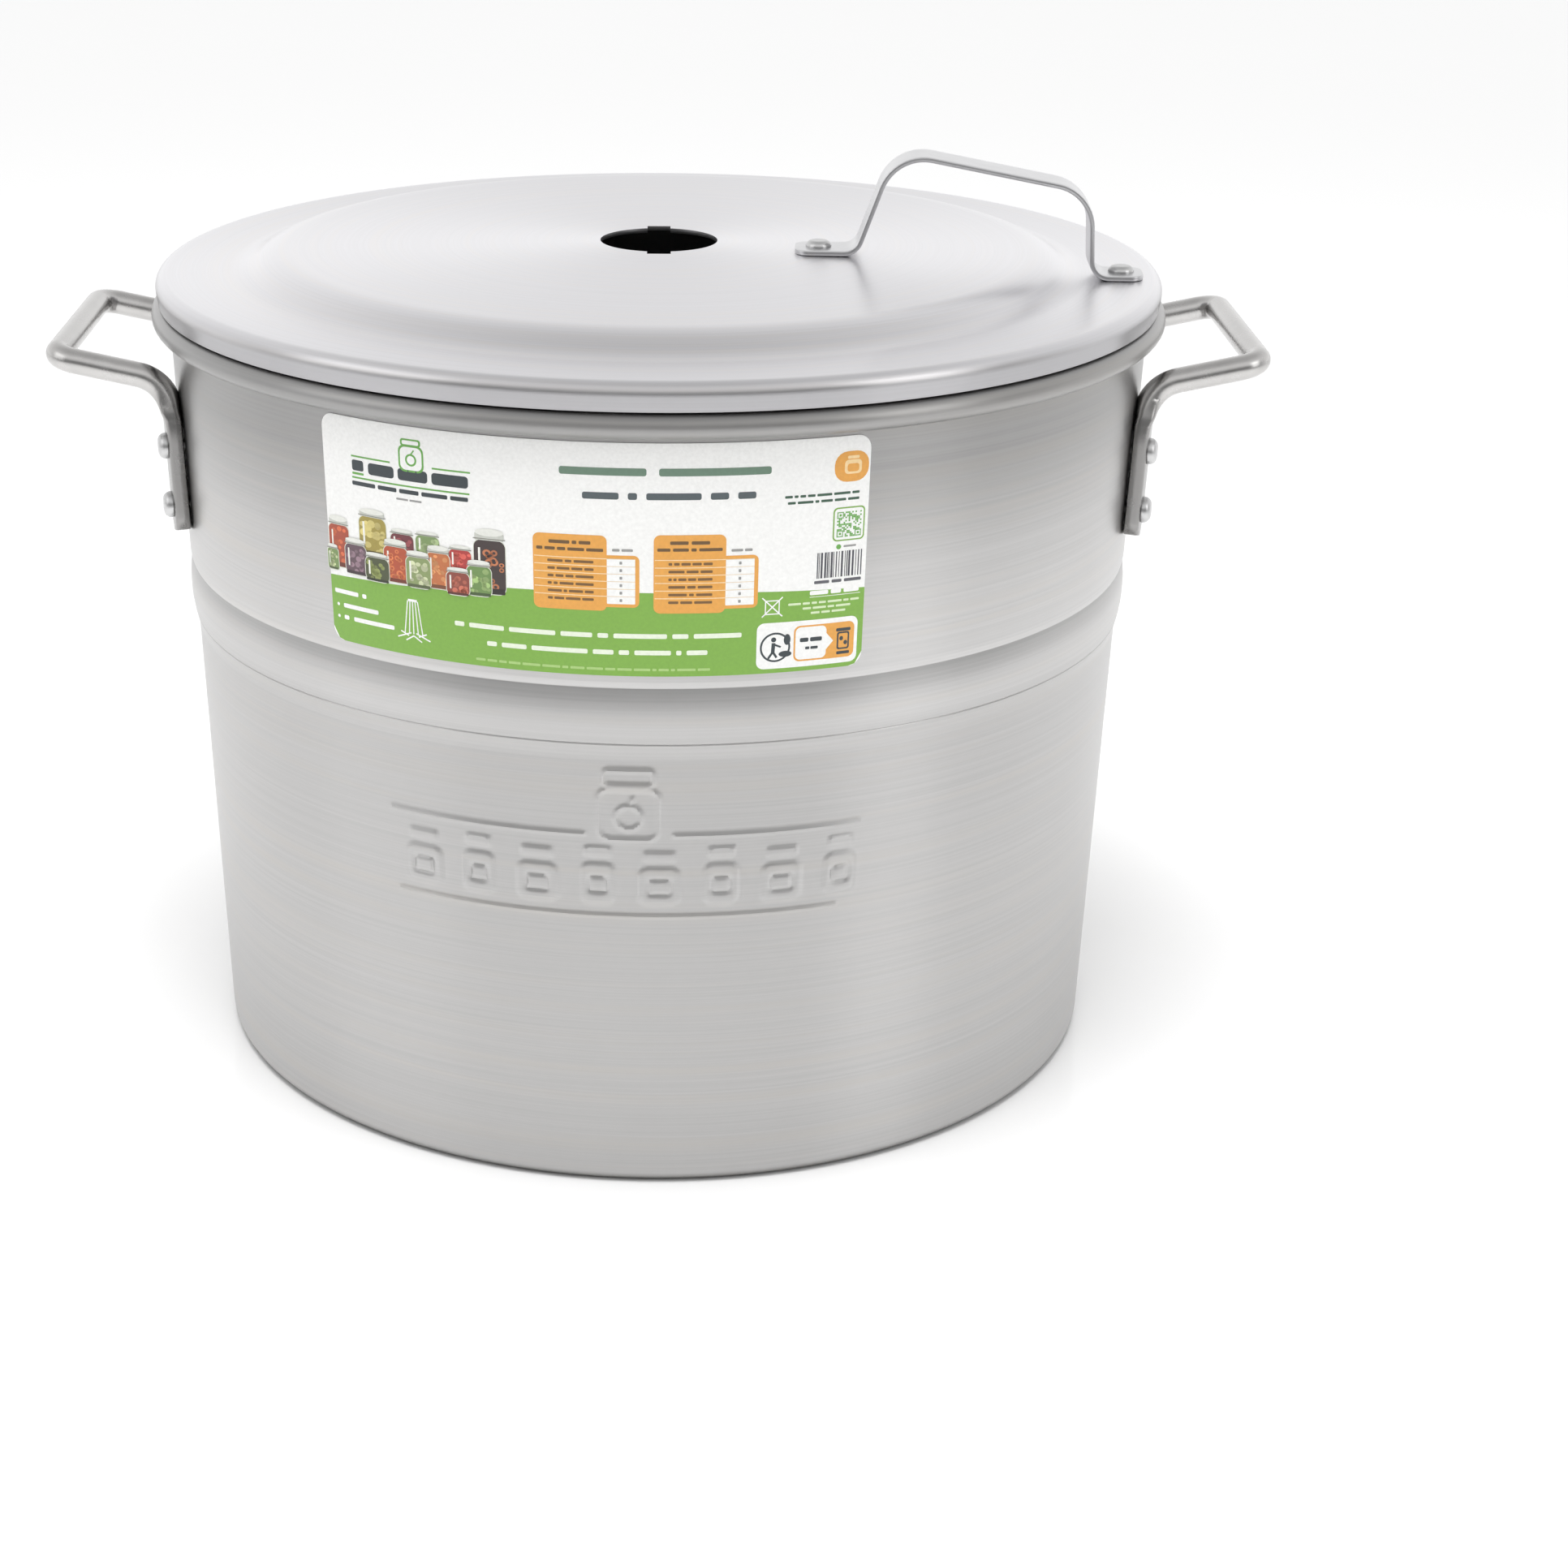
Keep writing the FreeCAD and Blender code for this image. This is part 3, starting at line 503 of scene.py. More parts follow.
def make_pot_body():
    """The pot's section carried round the axis, with the pressing added to the outer radius.

    The thin turned line under the band is a V: its depth falls off evenly on both sides.
    """
    base = rounded([(0, 0, 0), (BASE_R, 0, FOOT_ROUNDING), (CREASE_R, CREASE_Z, 0)], steps=9)[:-1]
    wall = rounded([
        (*base[-1], 0),
        (CREASE_R, CREASE_Z, CREASE_ROUNDING),
        (BULGE_R, BULGE_Z, BULGE_ROUNDING),
        (STEP_R - STEP_TUCK, STEP_Z, 0.25),
        (wall_at(STEP_TOP), STEP_TOP, 2.0),
        (MOUTH_WALL, BEAD_Z, 0),
    ], steps=9)
    plain_gap, relief_gap = 12.0, 0.85
    below = np.arange(12, 104, plain_gap)
    relief = np.arange(104, 172, relief_gap)
    groove = GROOVE_Z + np.array([-0.9, -GROOVE_HALF, 0.0, GROOVE_HALF, 0.9])
    edges = STEP_Z + np.array([-1.2, -0.5, 0.5, 1.2])
    above = np.arange(204, 290, plain_gap)
    wall = with_heights(wall, np.concatenate([below, relief, groove, edges, above]))
    turn = np.linspace(-1.745, math.pi, 26)
    arc = np.stack([np.cos(turn), np.sin(turn)], 1)
    middle = np.array([BEAD_R, BEAD_Z])
    curl = middle + BEAD_HALF * arc
    curl_back = middle + (BEAD_HALF - WALL) * arc[::-1]
    inside = rounded([
        (MOUTH_WALL - WALL, BEAD_Z, 0),
        (wall_at(STEP_TOP) - WALL, STEP_TOP, 2.0),
        (STEP_R - STEP_TUCK - WALL, STEP_Z, 0.5),
        (BULGE_R - WALL, BULGE_Z, BULGE_ROUNDING - WALL),
        (CREASE_R - WALL, CREASE_Z, CREASE_ROUNDING),
        (BASE_R - WALL, FLOOR, FOOT_ROUNDING - WALL),
        (0, FLOOR, 0),
    ])
    outside = np.concatenate([spaced(base[:-1], 30.0), wall])
    shell = np.concatenate([outside, curl, curl_back[:-1], spaced(inside, 28.0)])
    start, end = MOTIF_TURN - math.radians(29.5), MOTIF_TURN + math.radians(28)
    fine = np.arange(start, end, relief_gap / MOTIF_R)
    coarse = np.linspace(fine[-1], fine[0] + TURN, 118)[1:-1]

    def with_motif(radius, turns):
        height = np.repeat(shell[:, 1:], len(turns), 1)
        off = (turns[None] - MOTIF_TURN + math.pi) % TURN - math.pi
        rise = pressed_motif(off * MOTIF_R, height)
        rise = np.where((height > MOTIF_HEIGHTS[0]) & (height < MOTIF_HEIGHTS[1]), rise, 0)
        rise -= GROOVE_DEEP * np.clip(1 - np.abs(height - GROOVE_Z) / GROOVE_HALF, 0, 1)
        outer = (np.arange(len(shell)) < len(outside))[:, None]
        return radius + np.where(outer, rise, 0)

    grid = turned(shell, np.concatenate([fine, coarse]), with_motif)
    make_piece("pot_shell", [grid], "pot", POT_METAL, stands_for=("pot_body",))


# ---- lid
def hole_edge(angles):
    """Radius of the notched hole: the circle, or further out where a straight notch side is."""
    across = np.maximum(np.abs(np.sin(angles)), 1e-9)
    ahead = np.maximum(np.abs(np.cos(angles)), 1e-9)
    return np.maximum(HOLE_R, np.minimum(NOTCH_HALF / across, NOTCH_REACH / ahead))


def make_lid():
    """The lid's section carried round; near the hole each ring is drawn out to the notched edge."""
    crown = lid_high.z + 0.02
    seat = RIM_TOP + SEAT_GAP
    skirt = MOUTH_WALL - WALL - SKIRT_GAP
    flange = LID_R - 1.4
    under = LID_FLAT - LID_SHEET
    over_rounding, under_rounding, sharp = 24, 21, 0.5
    top = rounded([
        (HOLE_R, crown, 0),
        (SHOULDER_R, SHOULDER_Z, over_rounding),
        (RING_R, LID_FLAT, under_rounding),
        (LID_R, LID_FLAT, EDGE_ROUNDING),
        (flange, seat, 0.6),
        (flange - 2.0, seat, 0),
    ], steps=12)
    below = rounded([
        (flange - 2.0, seat, 0),
        (skirt, seat, sharp),
        (skirt, lid_low.z, sharp),
        (skirt - LID_SHEET, lid_low.z, sharp),
        (skirt - LID_SHEET, seat + LID_SHEET, sharp),
        (flange - LID_SHEET, seat + LID_SHEET, sharp),
        (LID_R - LID_SHEET, under, EDGE_ROUNDING - LID_SHEET),
        (RING_R, under, under_rounding + LID_SHEET),
        (SHOULDER_R, SHOULDER_Z - LID_SHEET, over_rounding - LID_SHEET),
        (HOLE_R, crown - LID_SHEET, 0),
    ], steps=8)
    lip = np.array([[HOLE_R, crown - 0.5], [HOLE_R, crown - LID_SHEET + 0.3]])
    section = np.concatenate([spaced(top, 9.0), spaced(below, 12.0)[1:], lip[::-1]])
    section = np.concatenate([section, section[:1]])
    corner = math.atan(NOTCH_HALF / NOTCH_REACH)
    root = math.asin(NOTCH_HALF / HOLE_R)
    special = np.array([s * a + h for a in (corner, root) for s in (-1, 1) for h in (0, math.pi)])
    even = np.linspace(0, TURN, 288, endpoint=False)
    angles = np.unique(np.round(np.concatenate([even, special % TURN]), 6))

    def with_hole(radius, turns):
        share = np.clip((HOLE_EASE_R - radius) / (HOLE_EASE_R - HOLE_R), 0, 1)
        return radius + share * (hole_edge(turns)[None] - HOLE_R)

    grid = turned(section, angles, with_hole)
    make_piece("lid_shell", [grid], "lid", LID_METAL, stands_for=("lid",), crease=40.0)


# ---- handles
STRAP_TURN = math.radians(-2.7)
STRAP_ASIDE = 15.7
STRAP_HALF = 9.75
STRAP_SHEET = 2.0
STRAP_END = 5.5
STRAP_INNER_Z = lid_high.z - 0.3
STRAP_RIVETS = ((61.5, STRAP_INNER_Z), (176.3, LID_FLAT))


def round_end(near, radius):
    """Half width of a round end by the distance near it: the height of a circle's arc."""
    return np.sqrt(np.maximum(radius ** 2 - (radius - np.minimum(near, radius)) ** 2, 0))


def strap_point(along, aside, height):
    """A point of the strap's own plane set in the pot's frame: turned a little and moved aside."""
    cos, sin = math.cos(STRAP_TURN), math.sin(STRAP_TURN)
    offset = aside - STRAP_ASIDE
    return np.stack([along * cos - offset * sin, along * sin + offset * cos, height], -1)


def make_lid_handle():
    """Flat strap: a thin squircle carried along rounded bends, its width an arc at both ends."""
    inner_z = STRAP_INNER_Z + STRAP_SHEET / 2
    outer_z = LID_FLAT + STRAP_SHEET / 2
    foot_bend, top_bend = 6.7, 16.5
    path = rounded([
        (52.6, inner_z, 0),
        (75.7, inner_z, foot_bend),
        (89.3, lid_high.z + 38.68, top_bend),
        (163.1, LID_FLAT + 33.0, top_bend),
        (164.7, outer_z, foot_bend),
        (184.3, outer_z, 0),
    ], steps=12)
    path, marks = dense_ends(path, STRAP_END)
    half = STRAP_HALF - STRAP_END + round_end(np.minimum(marks, marks[-1] - marks), STRAP_END)
    line = strap_point(path[:, 0], 0.0, path[:, 1])
    side = strap_point(0.0, 1.0, 0.0) - strap_point(0.0, 0.0, 0.0)
    sides = np.repeat(side[None], len(line), 0)
    grid = carried(line, sides, half, STRAP_SHEET / 2, power=9.0, around=48)
    make_piece("lid_strap", [grid], "lid", STRAP_METAL,
               stands_for=("lid_handle",), crease=50.0)


def make_side_handle(name, turn, node):
    """Bent rod: a squircle section carried up from one foot, round the grip and down to the other.

    It is round along the grip and eases over each foot to a flat tongue with a round end.
    """
    high = grip_high.z - ROD_R
    out = grip_high.x - ROD_R

    def foot_point(z, off):
        radius = wall_at(z) + off
        return radius * math.cos(FOOT_TURN), radius * math.sin(FOOT_TURN), z

    leg = [
        (*foot_point(FOOT_LOW_Z, FOOT_OFF), 0),
        (*foot_point(NECK_Z, FOOT_OFF + 0.1), 18.0),
        (ELBOW_X, FOOT_ASIDE, ELBOW_Z, 15.0),
        (out, FOOT_ASIDE, high, 8.2),
    ]
    mirror = [(x, -y, z, r) for x, y, z, r in leg[::-1]]
    path, along = dense_ends(spaced(rounded(leg + mirror, steps=14), 2.2), FOOT_END)
    near = np.minimum(along, along[-1] - along)
    flat = 1 - np.clip((near - FOOT_FLAT_RUN) / FOOT_EASE_RUN, 0, 1)
    flat = flat * flat * (3 - 2 * flat)
    tongue = FOOT_HALF_WIDE - FOOT_END + round_end(near, FOOT_END)
    half_wide = ROD_R + (tongue - ROD_R) * flat
    half_thick = ROD_R + (FOOT_HALF_THICK - ROD_R) * flat
    round_power, flat_power = 2.0, 4.6
    power = round_power + (flat_power - round_power) * flat
    tangent = np.gradient(path, axis=0)
    normal = np.array([-math.sin(GRIP_SLOPE), 0.0, math.cos(GRIP_SLOPE)])
    side = np.cross(normal, tangent)
    side /= np.linalg.norm(side, axis=1)[:, None]
    sign = np.sign(path[:, 1])
    around = np.stack([-np.sin(sign * FOOT_TURN), np.cos(sign * FOOT_TURN), 0 * sign], 1)
    around *= np.sign(np.sum(around * side, 1))[:, None]
    side = side * (1 - flat[:, None]) + around * flat[:, None]
    grid = carried(path, side, half_wide, half_thick, power, around=32)
    cos, sin = math.cos(turn), math.sin(turn)
    grid = np.stack([grid[..., 0] * cos - grid[..., 1] * sin,
                     grid[..., 0] * sin + grid[..., 1] * cos, grid[..., 2]], 2)
    make_piece(name, [grid], "pot", ROD_METAL, stands_for=(node,), crease=60.0)


def rivet(origin, axis, thick, head, head_tall, button):
    """A rivet turned about its own axis: flat tail, shank through the sheets and rounded head."""
    axis = np.asarray(axis, float)
    across = np.cross(axis, (0.0, 0.0, 1.0)) if abs(axis[2]) < 0.9 else np.array([1.0, 0.0, 0.0])
    across /= np.linalg.norm(across)
    over = np.cross(axis, across)
    section = rounded([
        (0, -thick - RIVET_TAIL_DEEP, 0),
        (RIVET_TAIL_R, -thick - RIVET_TAIL_DEEP, 0.7),
        (RIVET_TAIL_R, -thick, 0.2),
        (RIVET_SHANK_R, -thick, 0),
        (RIVET_SHANK_R, 0, 0),
        (head, 0, 0.35),
        (head, head_tall, head_tall * button + 1.0),
        (0, head_tall, 0),
    ], steps=8)
    turns = np.linspace(0, TURN, 36, endpoint=False)
    r, h = section[:, :1], section[:, 1:]
    rings = (r * np.cos(turns))[..., None] * across + (r * np.sin(turns))[..., None] * over
    return np.asarray(origin) + rings + h[..., None] * axis


def make_side_rivets(name, turn, node):
    """Four button rivets, two at each foot, set square to the wall at the foot's own angle."""
    grids = []
    foot = FOOT_HALF_THICK * 2
    thick = WALL + foot + 0.2
    for side in (-1, 1):
        angle = turn + side * FOOT_TURN
        axis = (math.cos(angle), math.sin(angle), 0.0)
        for height in RIVET_ROWS:
            face = wall_at(height) + foot + 0.05
            origin = (axis[0] * face, axis[1] * face, height)
            grids.append(rivet(origin, axis, thick, head=5.0, head_tall=3.4, button=0.5))
    make_piece(name, grids, "pot", RIVET_METAL, stands_for=(node,))


def make_lid_rivets():
    """Two rivets through the strap's feet and the lid."""
    grids = []
    thick = STRAP_SHEET + LID_SHEET + 0.2
    for along, top in STRAP_RIVETS:
        origin = strap_point(np.array(along), 0.0, np.array(top + STRAP_SHEET + 0.02))
        grids.append(rivet(origin, (0.0, 0.0, 1.0), thick, head=4.9, head_tall=2.3, button=0.6))
    make_piece("lid_strap_rivets", grids, "lid", RIVET_METAL,
               stands_for=("lid_handle_rivets",))


# ---- label
# Places on the label are (u, v) in millimetres: u along the wall from the left edge, v up from the
# lower edge. An ink on a higher layer lies over the ones below it.
LABEL_LEFT = math.asin(film_low.x / -film_low.y)
LABEL_SPAN = math.radians(60.4)
LABEL_R = 186.5
LABEL_WIDE = LABEL_R * LABEL_SPAN
LABEL_TALL = film_high.z - film_low.z
LABEL_CORNER = 5.0
BEND_GAP = 3
FILM = 0.3
FILM_GAP = 0.02
LAYER = 0.02
LABEL_SEED = 7


def srgb(*levels):
    """Screen levels from 0 to 255 as the linear colour that a shader needs."""
    return tuple(((level / 255 + 0.055) / 1.055) ** 2.4 for level in levels)


WHITE = srgb(244, 244, 242)
GREEN = srgb(124, 172, 66)
LEAF = srgb(104, 168, 74)
ORANGE = srgb(229, 163, 72)
SLATE = srgb(48, 58, 62)
FOREST = srgb(52, 86, 66)
GREY = srgb(150, 150, 148)
CREAM = srgb(246, 214, 160)
PALE_TEXT = srgb(232, 240, 220)
CARD_TEXT = srgb(104, 76, 38)

# every printed patch so far: (two lines of points, ink, layer)
stamps = []


def on_wall(points, layer):
    """Label points (u along the wall, v up it) laid on the cone of the upper wall."""
    angle = LABEL_LEFT + points[..., 0] / LABEL_WIDE * LABEL_SPAN
    height = film_low.z + points[..., 1]
    radius = wall_at(height) + FILM + layer * LAYER
    return np.stack([radius * np.sin(angle), -radius * np.cos(angle), height], -1)


def stamp(low, high, ink, layer):
    """A printed patch: the ruled strip between two lines of points, in one ink."""
    stamps.append((np.stack([low, high], 0), ink, layer))


def corner_cut(u0, u1, corner, columns, steps):
    """Columns from u0 to u1, and how much the quarter-circle corners cut off each at both ends."""
    turn = np.linspace(0, math.pi / 2, steps)
    inset = corner * (1 - np.cos(turn))
    end_cut = corner * (1 - np.sin(turn))
    middle = np.linspace(u0 + corner, u1 - corner, columns)[1:-1]
    u = np.concatenate([u0 + inset, middle, (u1 - inset)[::-1]])
    return u, np.concatenate([end_cut, 0 * middle, end_cut[::-1]])


def block(u0, v0, u1, v1, ink, layer, corner=0.0):
    """Rounded rectangle: its columns follow the wall, and quarter arcs inset both ends."""
    u, cut = corner_cut(u0, u1, corner, max(2, int((u1 - u0) / BEND_GAP) + 1), 6)
    stamp(np.stack([u, v0 + cut], 1), np.stack([u, v1 - cut], 1), ink, layer)


def spot(u, v, half_u, half_v, ink, layer, sides=15):
    """Ellipse as a strip: half width by cosine, half height by sine."""
    turn = np.linspace(0, math.pi, sides)
    across = u - half_u * np.cos(turn)
    up = half_v * np.sin(turn)
    stamp(np.stack([across, v - up], 1), np.stack([across, v + up], 1), ink, layer)


def stroke(start, end, wide, ink, layer):
    """Straight line of ink between two points, wide across."""
    start, end = np.array(start, float), np.array(end, float)
    run = end - start
    share = np.linspace(0, 1, max(2, int(np.linalg.norm(run) / BEND_GAP) + 1))[:, None]
    line = start + share * run
    off = np.array([-run[1], run[0]]) / np.linalg.norm(run) * wide / 2
    stamp(line - off, line + off, ink, layer)


def word_bars(u0, u1, v, tall, ink, layer, counts):
    """A line of text as plain bars, one a word: each as long as its count of letters, one apart."""
    letter = (u1 - u0) / (sum(counts) + len(counts) - 1)
    u = u0
    for count in counts:
        block(u, v, u + count * letter, v + tall, ink, layer, tall * 0.3)
        u += (count + 1) * letter


def small_print(u0, u1, v, tall, ink, layer, dice):
    """A line of small print: word lengths drawn at random until the line holds its letters."""
    counts = []
    while sum(counts) + len(counts) < (u1 - u0) / (tall * 0.8):
        counts.append(int(dice.integers(2, 10)))
    word_bars(u0, u1, v, tall, ink, layer, counts)


def jar_picture(u, v0, v1, wide, base, bits, dice, layer, rings):
    """A preserving jar: glass body with bits of fruit, a shadow at its foot, clip lid and shine."""
    half, tall = wide / 2, v1 - v0
    neck = v1 - 0.17 * tall
    rim = neck + 0.02 * tall
    halo, shine, metal = srgb(225, 228, 214), srgb(240, 240, 232), srgb(196, 198, 190)
    cover, wire = srgb(228, 229, 222), srgb(128, 128, 118)
    block(u - half - 0.25, v0 - 0.3, u + half + 0.25, neck + 0.3, halo, layer, half * 0.5)
    block(u - half, v0, u + half, neck, base, layer + 1, half * 0.45)
    for _ in range(16):
        size = wide * dice.uniform(0.08, 0.15)
        at_u = u + dice.uniform(-1, 1) * (half - size * 1.1)
        at_v = v0 + size + dice.uniform(0, 1) * (neck - v0 - 2.4 * size)
        shade = dice.uniform(0.72, 1.35)
        fruit = tuple(min(1, level * shade) for level in bits)
        spot(at_u, at_v, size, size * dice.uniform(0.7, 1.0), fruit, layer + 2, 9)
        if rings:
            spot(at_u, at_v, size * 0.45, size * 0.4, base, layer + 3, 7)
    dark = tuple(level * 0.35 for level in base)
    block(u - half + 0.3, v0 + 0.05, u + half - 0.3, v0 + 0.09 * tall, dark, layer + 3, 0.3)
    block(u - half * 0.72, v0 + 0.22 * tall, u - half * 0.58, neck - 0.12 * tall, shine, layer + 3, 0.1)
    block(u - half * 0.92, neck - 0.1, u + half * 0.92, v1 - 0.06 * tall, metal, layer + 4, 0.4)
    spot(u, v1 - 0.05 * tall, half * 0.9, 0.06 * tall, cover, layer + 5, 11)
    stroke((u - half * 1.02, rim), (u + half * 1.02, rim), 0.3, wire, layer + 5)


def table_print(u0, u1, u2, top, low, cell_top, dice):
    """A cooking-time table: orange card with ruled rows, and a white column framed in orange."""
    first, last, right = low + 1.0, cell_top - 1.3, u2 - 1.4
    figure = (u1 + u2) / 2
    block(u1 - 2.0, low - 0.2, u2, cell_top, ORANGE, 3, 2.0)
    block(u0, low - 1.6, u1, top, ORANGE, 4, 2.2)
    block(u1, first, right, last, WHITE, 5, 0.3)
    rows = np.linspace(first, last, 7)
    step = rows[1] - rows[0]
    for edge in rows[1:]:
        stroke((u0 + 0.4, edge), (u1, edge), 0.28, srgb(246, 222, 180), 5)
        stroke((u1, edge), (right, edge), 0.22, srgb(228, 208, 176), 6)
    for edge in rows[:-1]:
        small_print(u0 + 5.0, u1 - 4.5, edge + step * 0.32, step * 0.34, srgb(116, 84, 42), 6, dice)
        block(figure - 1.2, edge + step * 0.3, figure - 0.3, edge + step * 0.68, GREY, 7, 0.2)
    small_print(u0 + 5.5, u1 - 5.5, top - 3.4, 1.2, CARD_TEXT, 6, dice)
    small_print(u0 + 1.2, u1 - 1.2, top - 5.8, 1.1, CARD_TEXT, 6, dice)
    small_print(u1 + 1.8, u2 - 2.2, cell_top + 1.4, 0.9, GREY, 4, dice)


def green_field():
    """Green foot of the label: straight runs between set heights over its two rounded corners."""
    u = np.linspace(0, LABEL_WIDE, 80)
    top = np.interp(u, (0, 12, 33, 70, 107, 150, 197), (24, 24.6, 25.4, 29.6, 30.4, 30.2, 28.4))
    low = LABEL_CORNER - round_end(np.minimum(u, LABEL_WIDE - u), LABEL_CORNER)
    stamp(np.stack([u, low], 1), np.stack([u, top], 1), GREEN, 1)


def print_emblem(dice):
    """House corner of the label: a jar drawn in line between two rules, with a bar for a name."""
    block(12.7, 69.0, 29.0, 69.6, LEAF, 2)
    block(45.5, 69.0, 59.7, 69.6, LEAF, 2)
    block(12.7, 61.4, 59.2, 62.0, LEAF, 2)
    block(32.6, 66.9, 42.4, 76.4, LEAF, 2, 2.4)
    block(33.3, 67.6, 41.7, 75.7, WHITE, 3, 2.0)
    block(33.6, 76.0, 41.4, 78.6, LEAF, 4, 0.9)
    block(34.3, 76.6, 40.7, 78.0, WHITE, 5, 0.5)
    spot(37.5, 71.2, 2.2, 2.2, LEAF, 4)
    spot(37.5, 71.2, 1.5, 1.5, WHITE, 5)
    stroke((37.6, 73.2), (38.8, 74.8), 0.5, LEAF, 6)
    block(12.9, 64.2, 17.8, 68.0, SLATE, 2, 0.8)
    block(12.9, 62.8, 17.8, 63.6, LEAF, 2, 0.2)
    for left, right in ((19.8, 30.4), (32.0, 43.6), (45.2, 58.8)):
        block(left, 63.6, right, 67.8, SLATE, 2, 1.2)
    small_print(12.6, 58.6, 58.9, 1.5, SLATE, 2, dice)
    small_print(31.0, 41.0, 56.4, 0.7, GREY, 2, dice)


def print_column_sketch():
    """White line drawing of the inner column with springs round its foot."""
    middle = 35.6
    for share in np.linspace(-1, 1, 5):
        stroke((middle + share * 3.6, 8.0), (middle + share * 2.0, 20.2), 0.42, WHITE, 2)
    stroke((middle - 1.8, 20.4), (middle + 1.8, 20.4), 0.9, WHITE, 2)
    for side in (-1, 1):
        for inner, outer in (((1.0, 8.4), (6.6, 6.2)), ((2.0, 7.2), (5.2, 8.6)), ((0.0, 7.4), (3.2, 5.4))):
            start, end = ((middle + side * across, v) for across, v in (inner, outer))
            stroke(start, end, 0.5, WHITE, 2)


def print_tab(dice):
    """Orange tab with a small jar, and two lines of small print under it."""
    block(183.6, 66.9, LABEL_WIDE - 0.6, 77.6, ORANGE, 2, 4.6)
    block(187.2, 69.6, 193.4, 74.6, CREAM, 3, 1.4)
    block(188.2, 70.4, 192.4, 73.2, ORANGE, 4, 0.9)
    block(188.2, 74.9, 192.4, 76.0, CREAM, 3, 0.4)
    small_print(166.5, 193.0, 62.6, 0.9, FOREST, 2, dice)
    small_print(167.5, 193.0, 60.4, 0.9, FOREST, 2, dice)


def print_square_code(dice):
    """Square code of random cells that says nothing, with the usual three corner squares."""
    left_edge, low_edge, cell, count, corner = 185.2, 47.4, 0.6, 15, 4
    block(183.8, 46.0, 195.4, 58.0, GREEN, 2, 1.6)
    block(184.3, 46.5, 194.9, 57.5, WHITE, 3, 1.3)
    grid = dice.random((count, count)) < 0.5
    grid[:corner, :corner] = grid[-corner:, :corner] = grid[:corner, -corner:] = True
    for row, column in np.argwhere(grid):
        left, low = left_edge + column * cell, low_edge + row * cell
        block(left, low, left + 0.56, low + 0.56, LEAF, 4)
    far = (count - corner) * cell
    for left, low in ((0, 0), (far, 0), (0, far)):
        left, low = left_edge + left, low_edge + low
        block(left + 0.4, low + 0.4, left + 2.0, low + 2.0, WHITE, 5)
        block(left + 0.8, low + 0.8, left + 1.6, low + 1.6, LEAF, 6)
    spot(186.2, 44.0, 0.9, 0.9, LEAF, 2)
    block(188.0, 43.7, 192.6, 44.4, GREY, 2, 0.2)


def print_bar_code(dice):
    """Bar code of random widths that says nothing, and the small print under it."""
    left = 178.6
    while left < 194.6:
        wide = dice.choice((0.28, 0.42, 0.7))
        block(left, 33.2, left + wide, 42.4, srgb(70, 70, 78), 2)
        left += wide + dice.choice((0.24, 0.4, 0.62))
    small_print(177.8, 195.0, 31.3, 1.1, srgb(90, 90, 96), 2, dice)
    small_print(176.4, 194.4, 27.4, 1.5, WHITE, 2, dice)
    stroke((176.4, 26.7), (195.0, 26.7), 0.2, WHITE, 2)
    for v, left in ((24.2, 168.8), (22.4, 174.0), (20.6, 177.0)):
        small_print(left, 194.6 - (left - 168.8) * 0.6, v, 0.8, srgb(214, 230, 190), 2, dice)


def print_marks(dice):
    """Crossed box, and a white card with a round mark of a figure and a tag of a jar."""
    for start, end in (((159.6, 20.6), (166.8, 27.6)), ((166.8, 20.6), (159.6, 27.6))):
        stroke(start, end, 0.45, WHITE, 2)
    for left, low, right, high in ((160.6, 21.4, 165.8, 21.8), (160.6, 26.2, 165.8, 26.6),
                                   (160.6, 21.4, 161.0, 26.6), (165.4, 21.4, 165.8, 26.6)):
        block(left, low, right, high, WHITE, 2)
    block(158.0, 1.6, 194.6, 18.4, WHITE, 2, 2.6)
    spot(164.6, 9.4, 5.4, 5.4, SLATE, 3, 21)
    spot(164.6, 9.4, 4.7, 4.7, WHITE, 4, 21)
    spot(164.0, 12.2, 0.9, 0.9, SLATE, 5)
    hip = (163.8, 7.8)
    for start, end, wide in (((164.0, 11.0), (163.8, 7.6), 1.3), (hip, (162.2, 5.4), 0.8),
                             (hip, (165.2, 5.6), 0.8), ((163.8, 10.6), (166.6, 9.4), 0.7)):
        stroke(start, end, wide, SLATE, 5)
    spot(168.8, 12.0, 1.2, 2.0, SLATE, 5)
    spot(168.2, 6.8, 2.3, 1.1, SLATE, 5)
    block(171.2, 3.6, 193.4, 16.6, ORANGE, 3, 2.2)
    block(171.8, 4.2, 183.0, 16.0, WHITE, 4, 1.8)
    tip = (185.6, 10.1)
    stamp(np.array([(180.5, 4.2), tip]), np.array([(180.5, 16.0), tip]), WHITE, 5)
    small_print(173.4, 181.4, 10.6, 1.5, SLATE, 6, dice)
    small_print(175.4, 180.0, 7.8, 1.0, SLATE, 6, dice)
    block(187.0, 6.6, 191.6, 13.0, SLATE, 4, 0.8)
    block(187.6, 7.2, 191.0, 12.4, ORANGE, 5, 0.5)
    spot(188.6, 10.6, 0.7, 0.8, SLATE, 6)
    spot(190.2, 9.0, 0.7, 0.8, SLATE, 6)
    block(186.6, 13.2, 192.0, 14.4, SLATE, 4, 0.4)
    block(187.0, 4.8, 191.8, 5.9, SLATE, 4, 0.3)


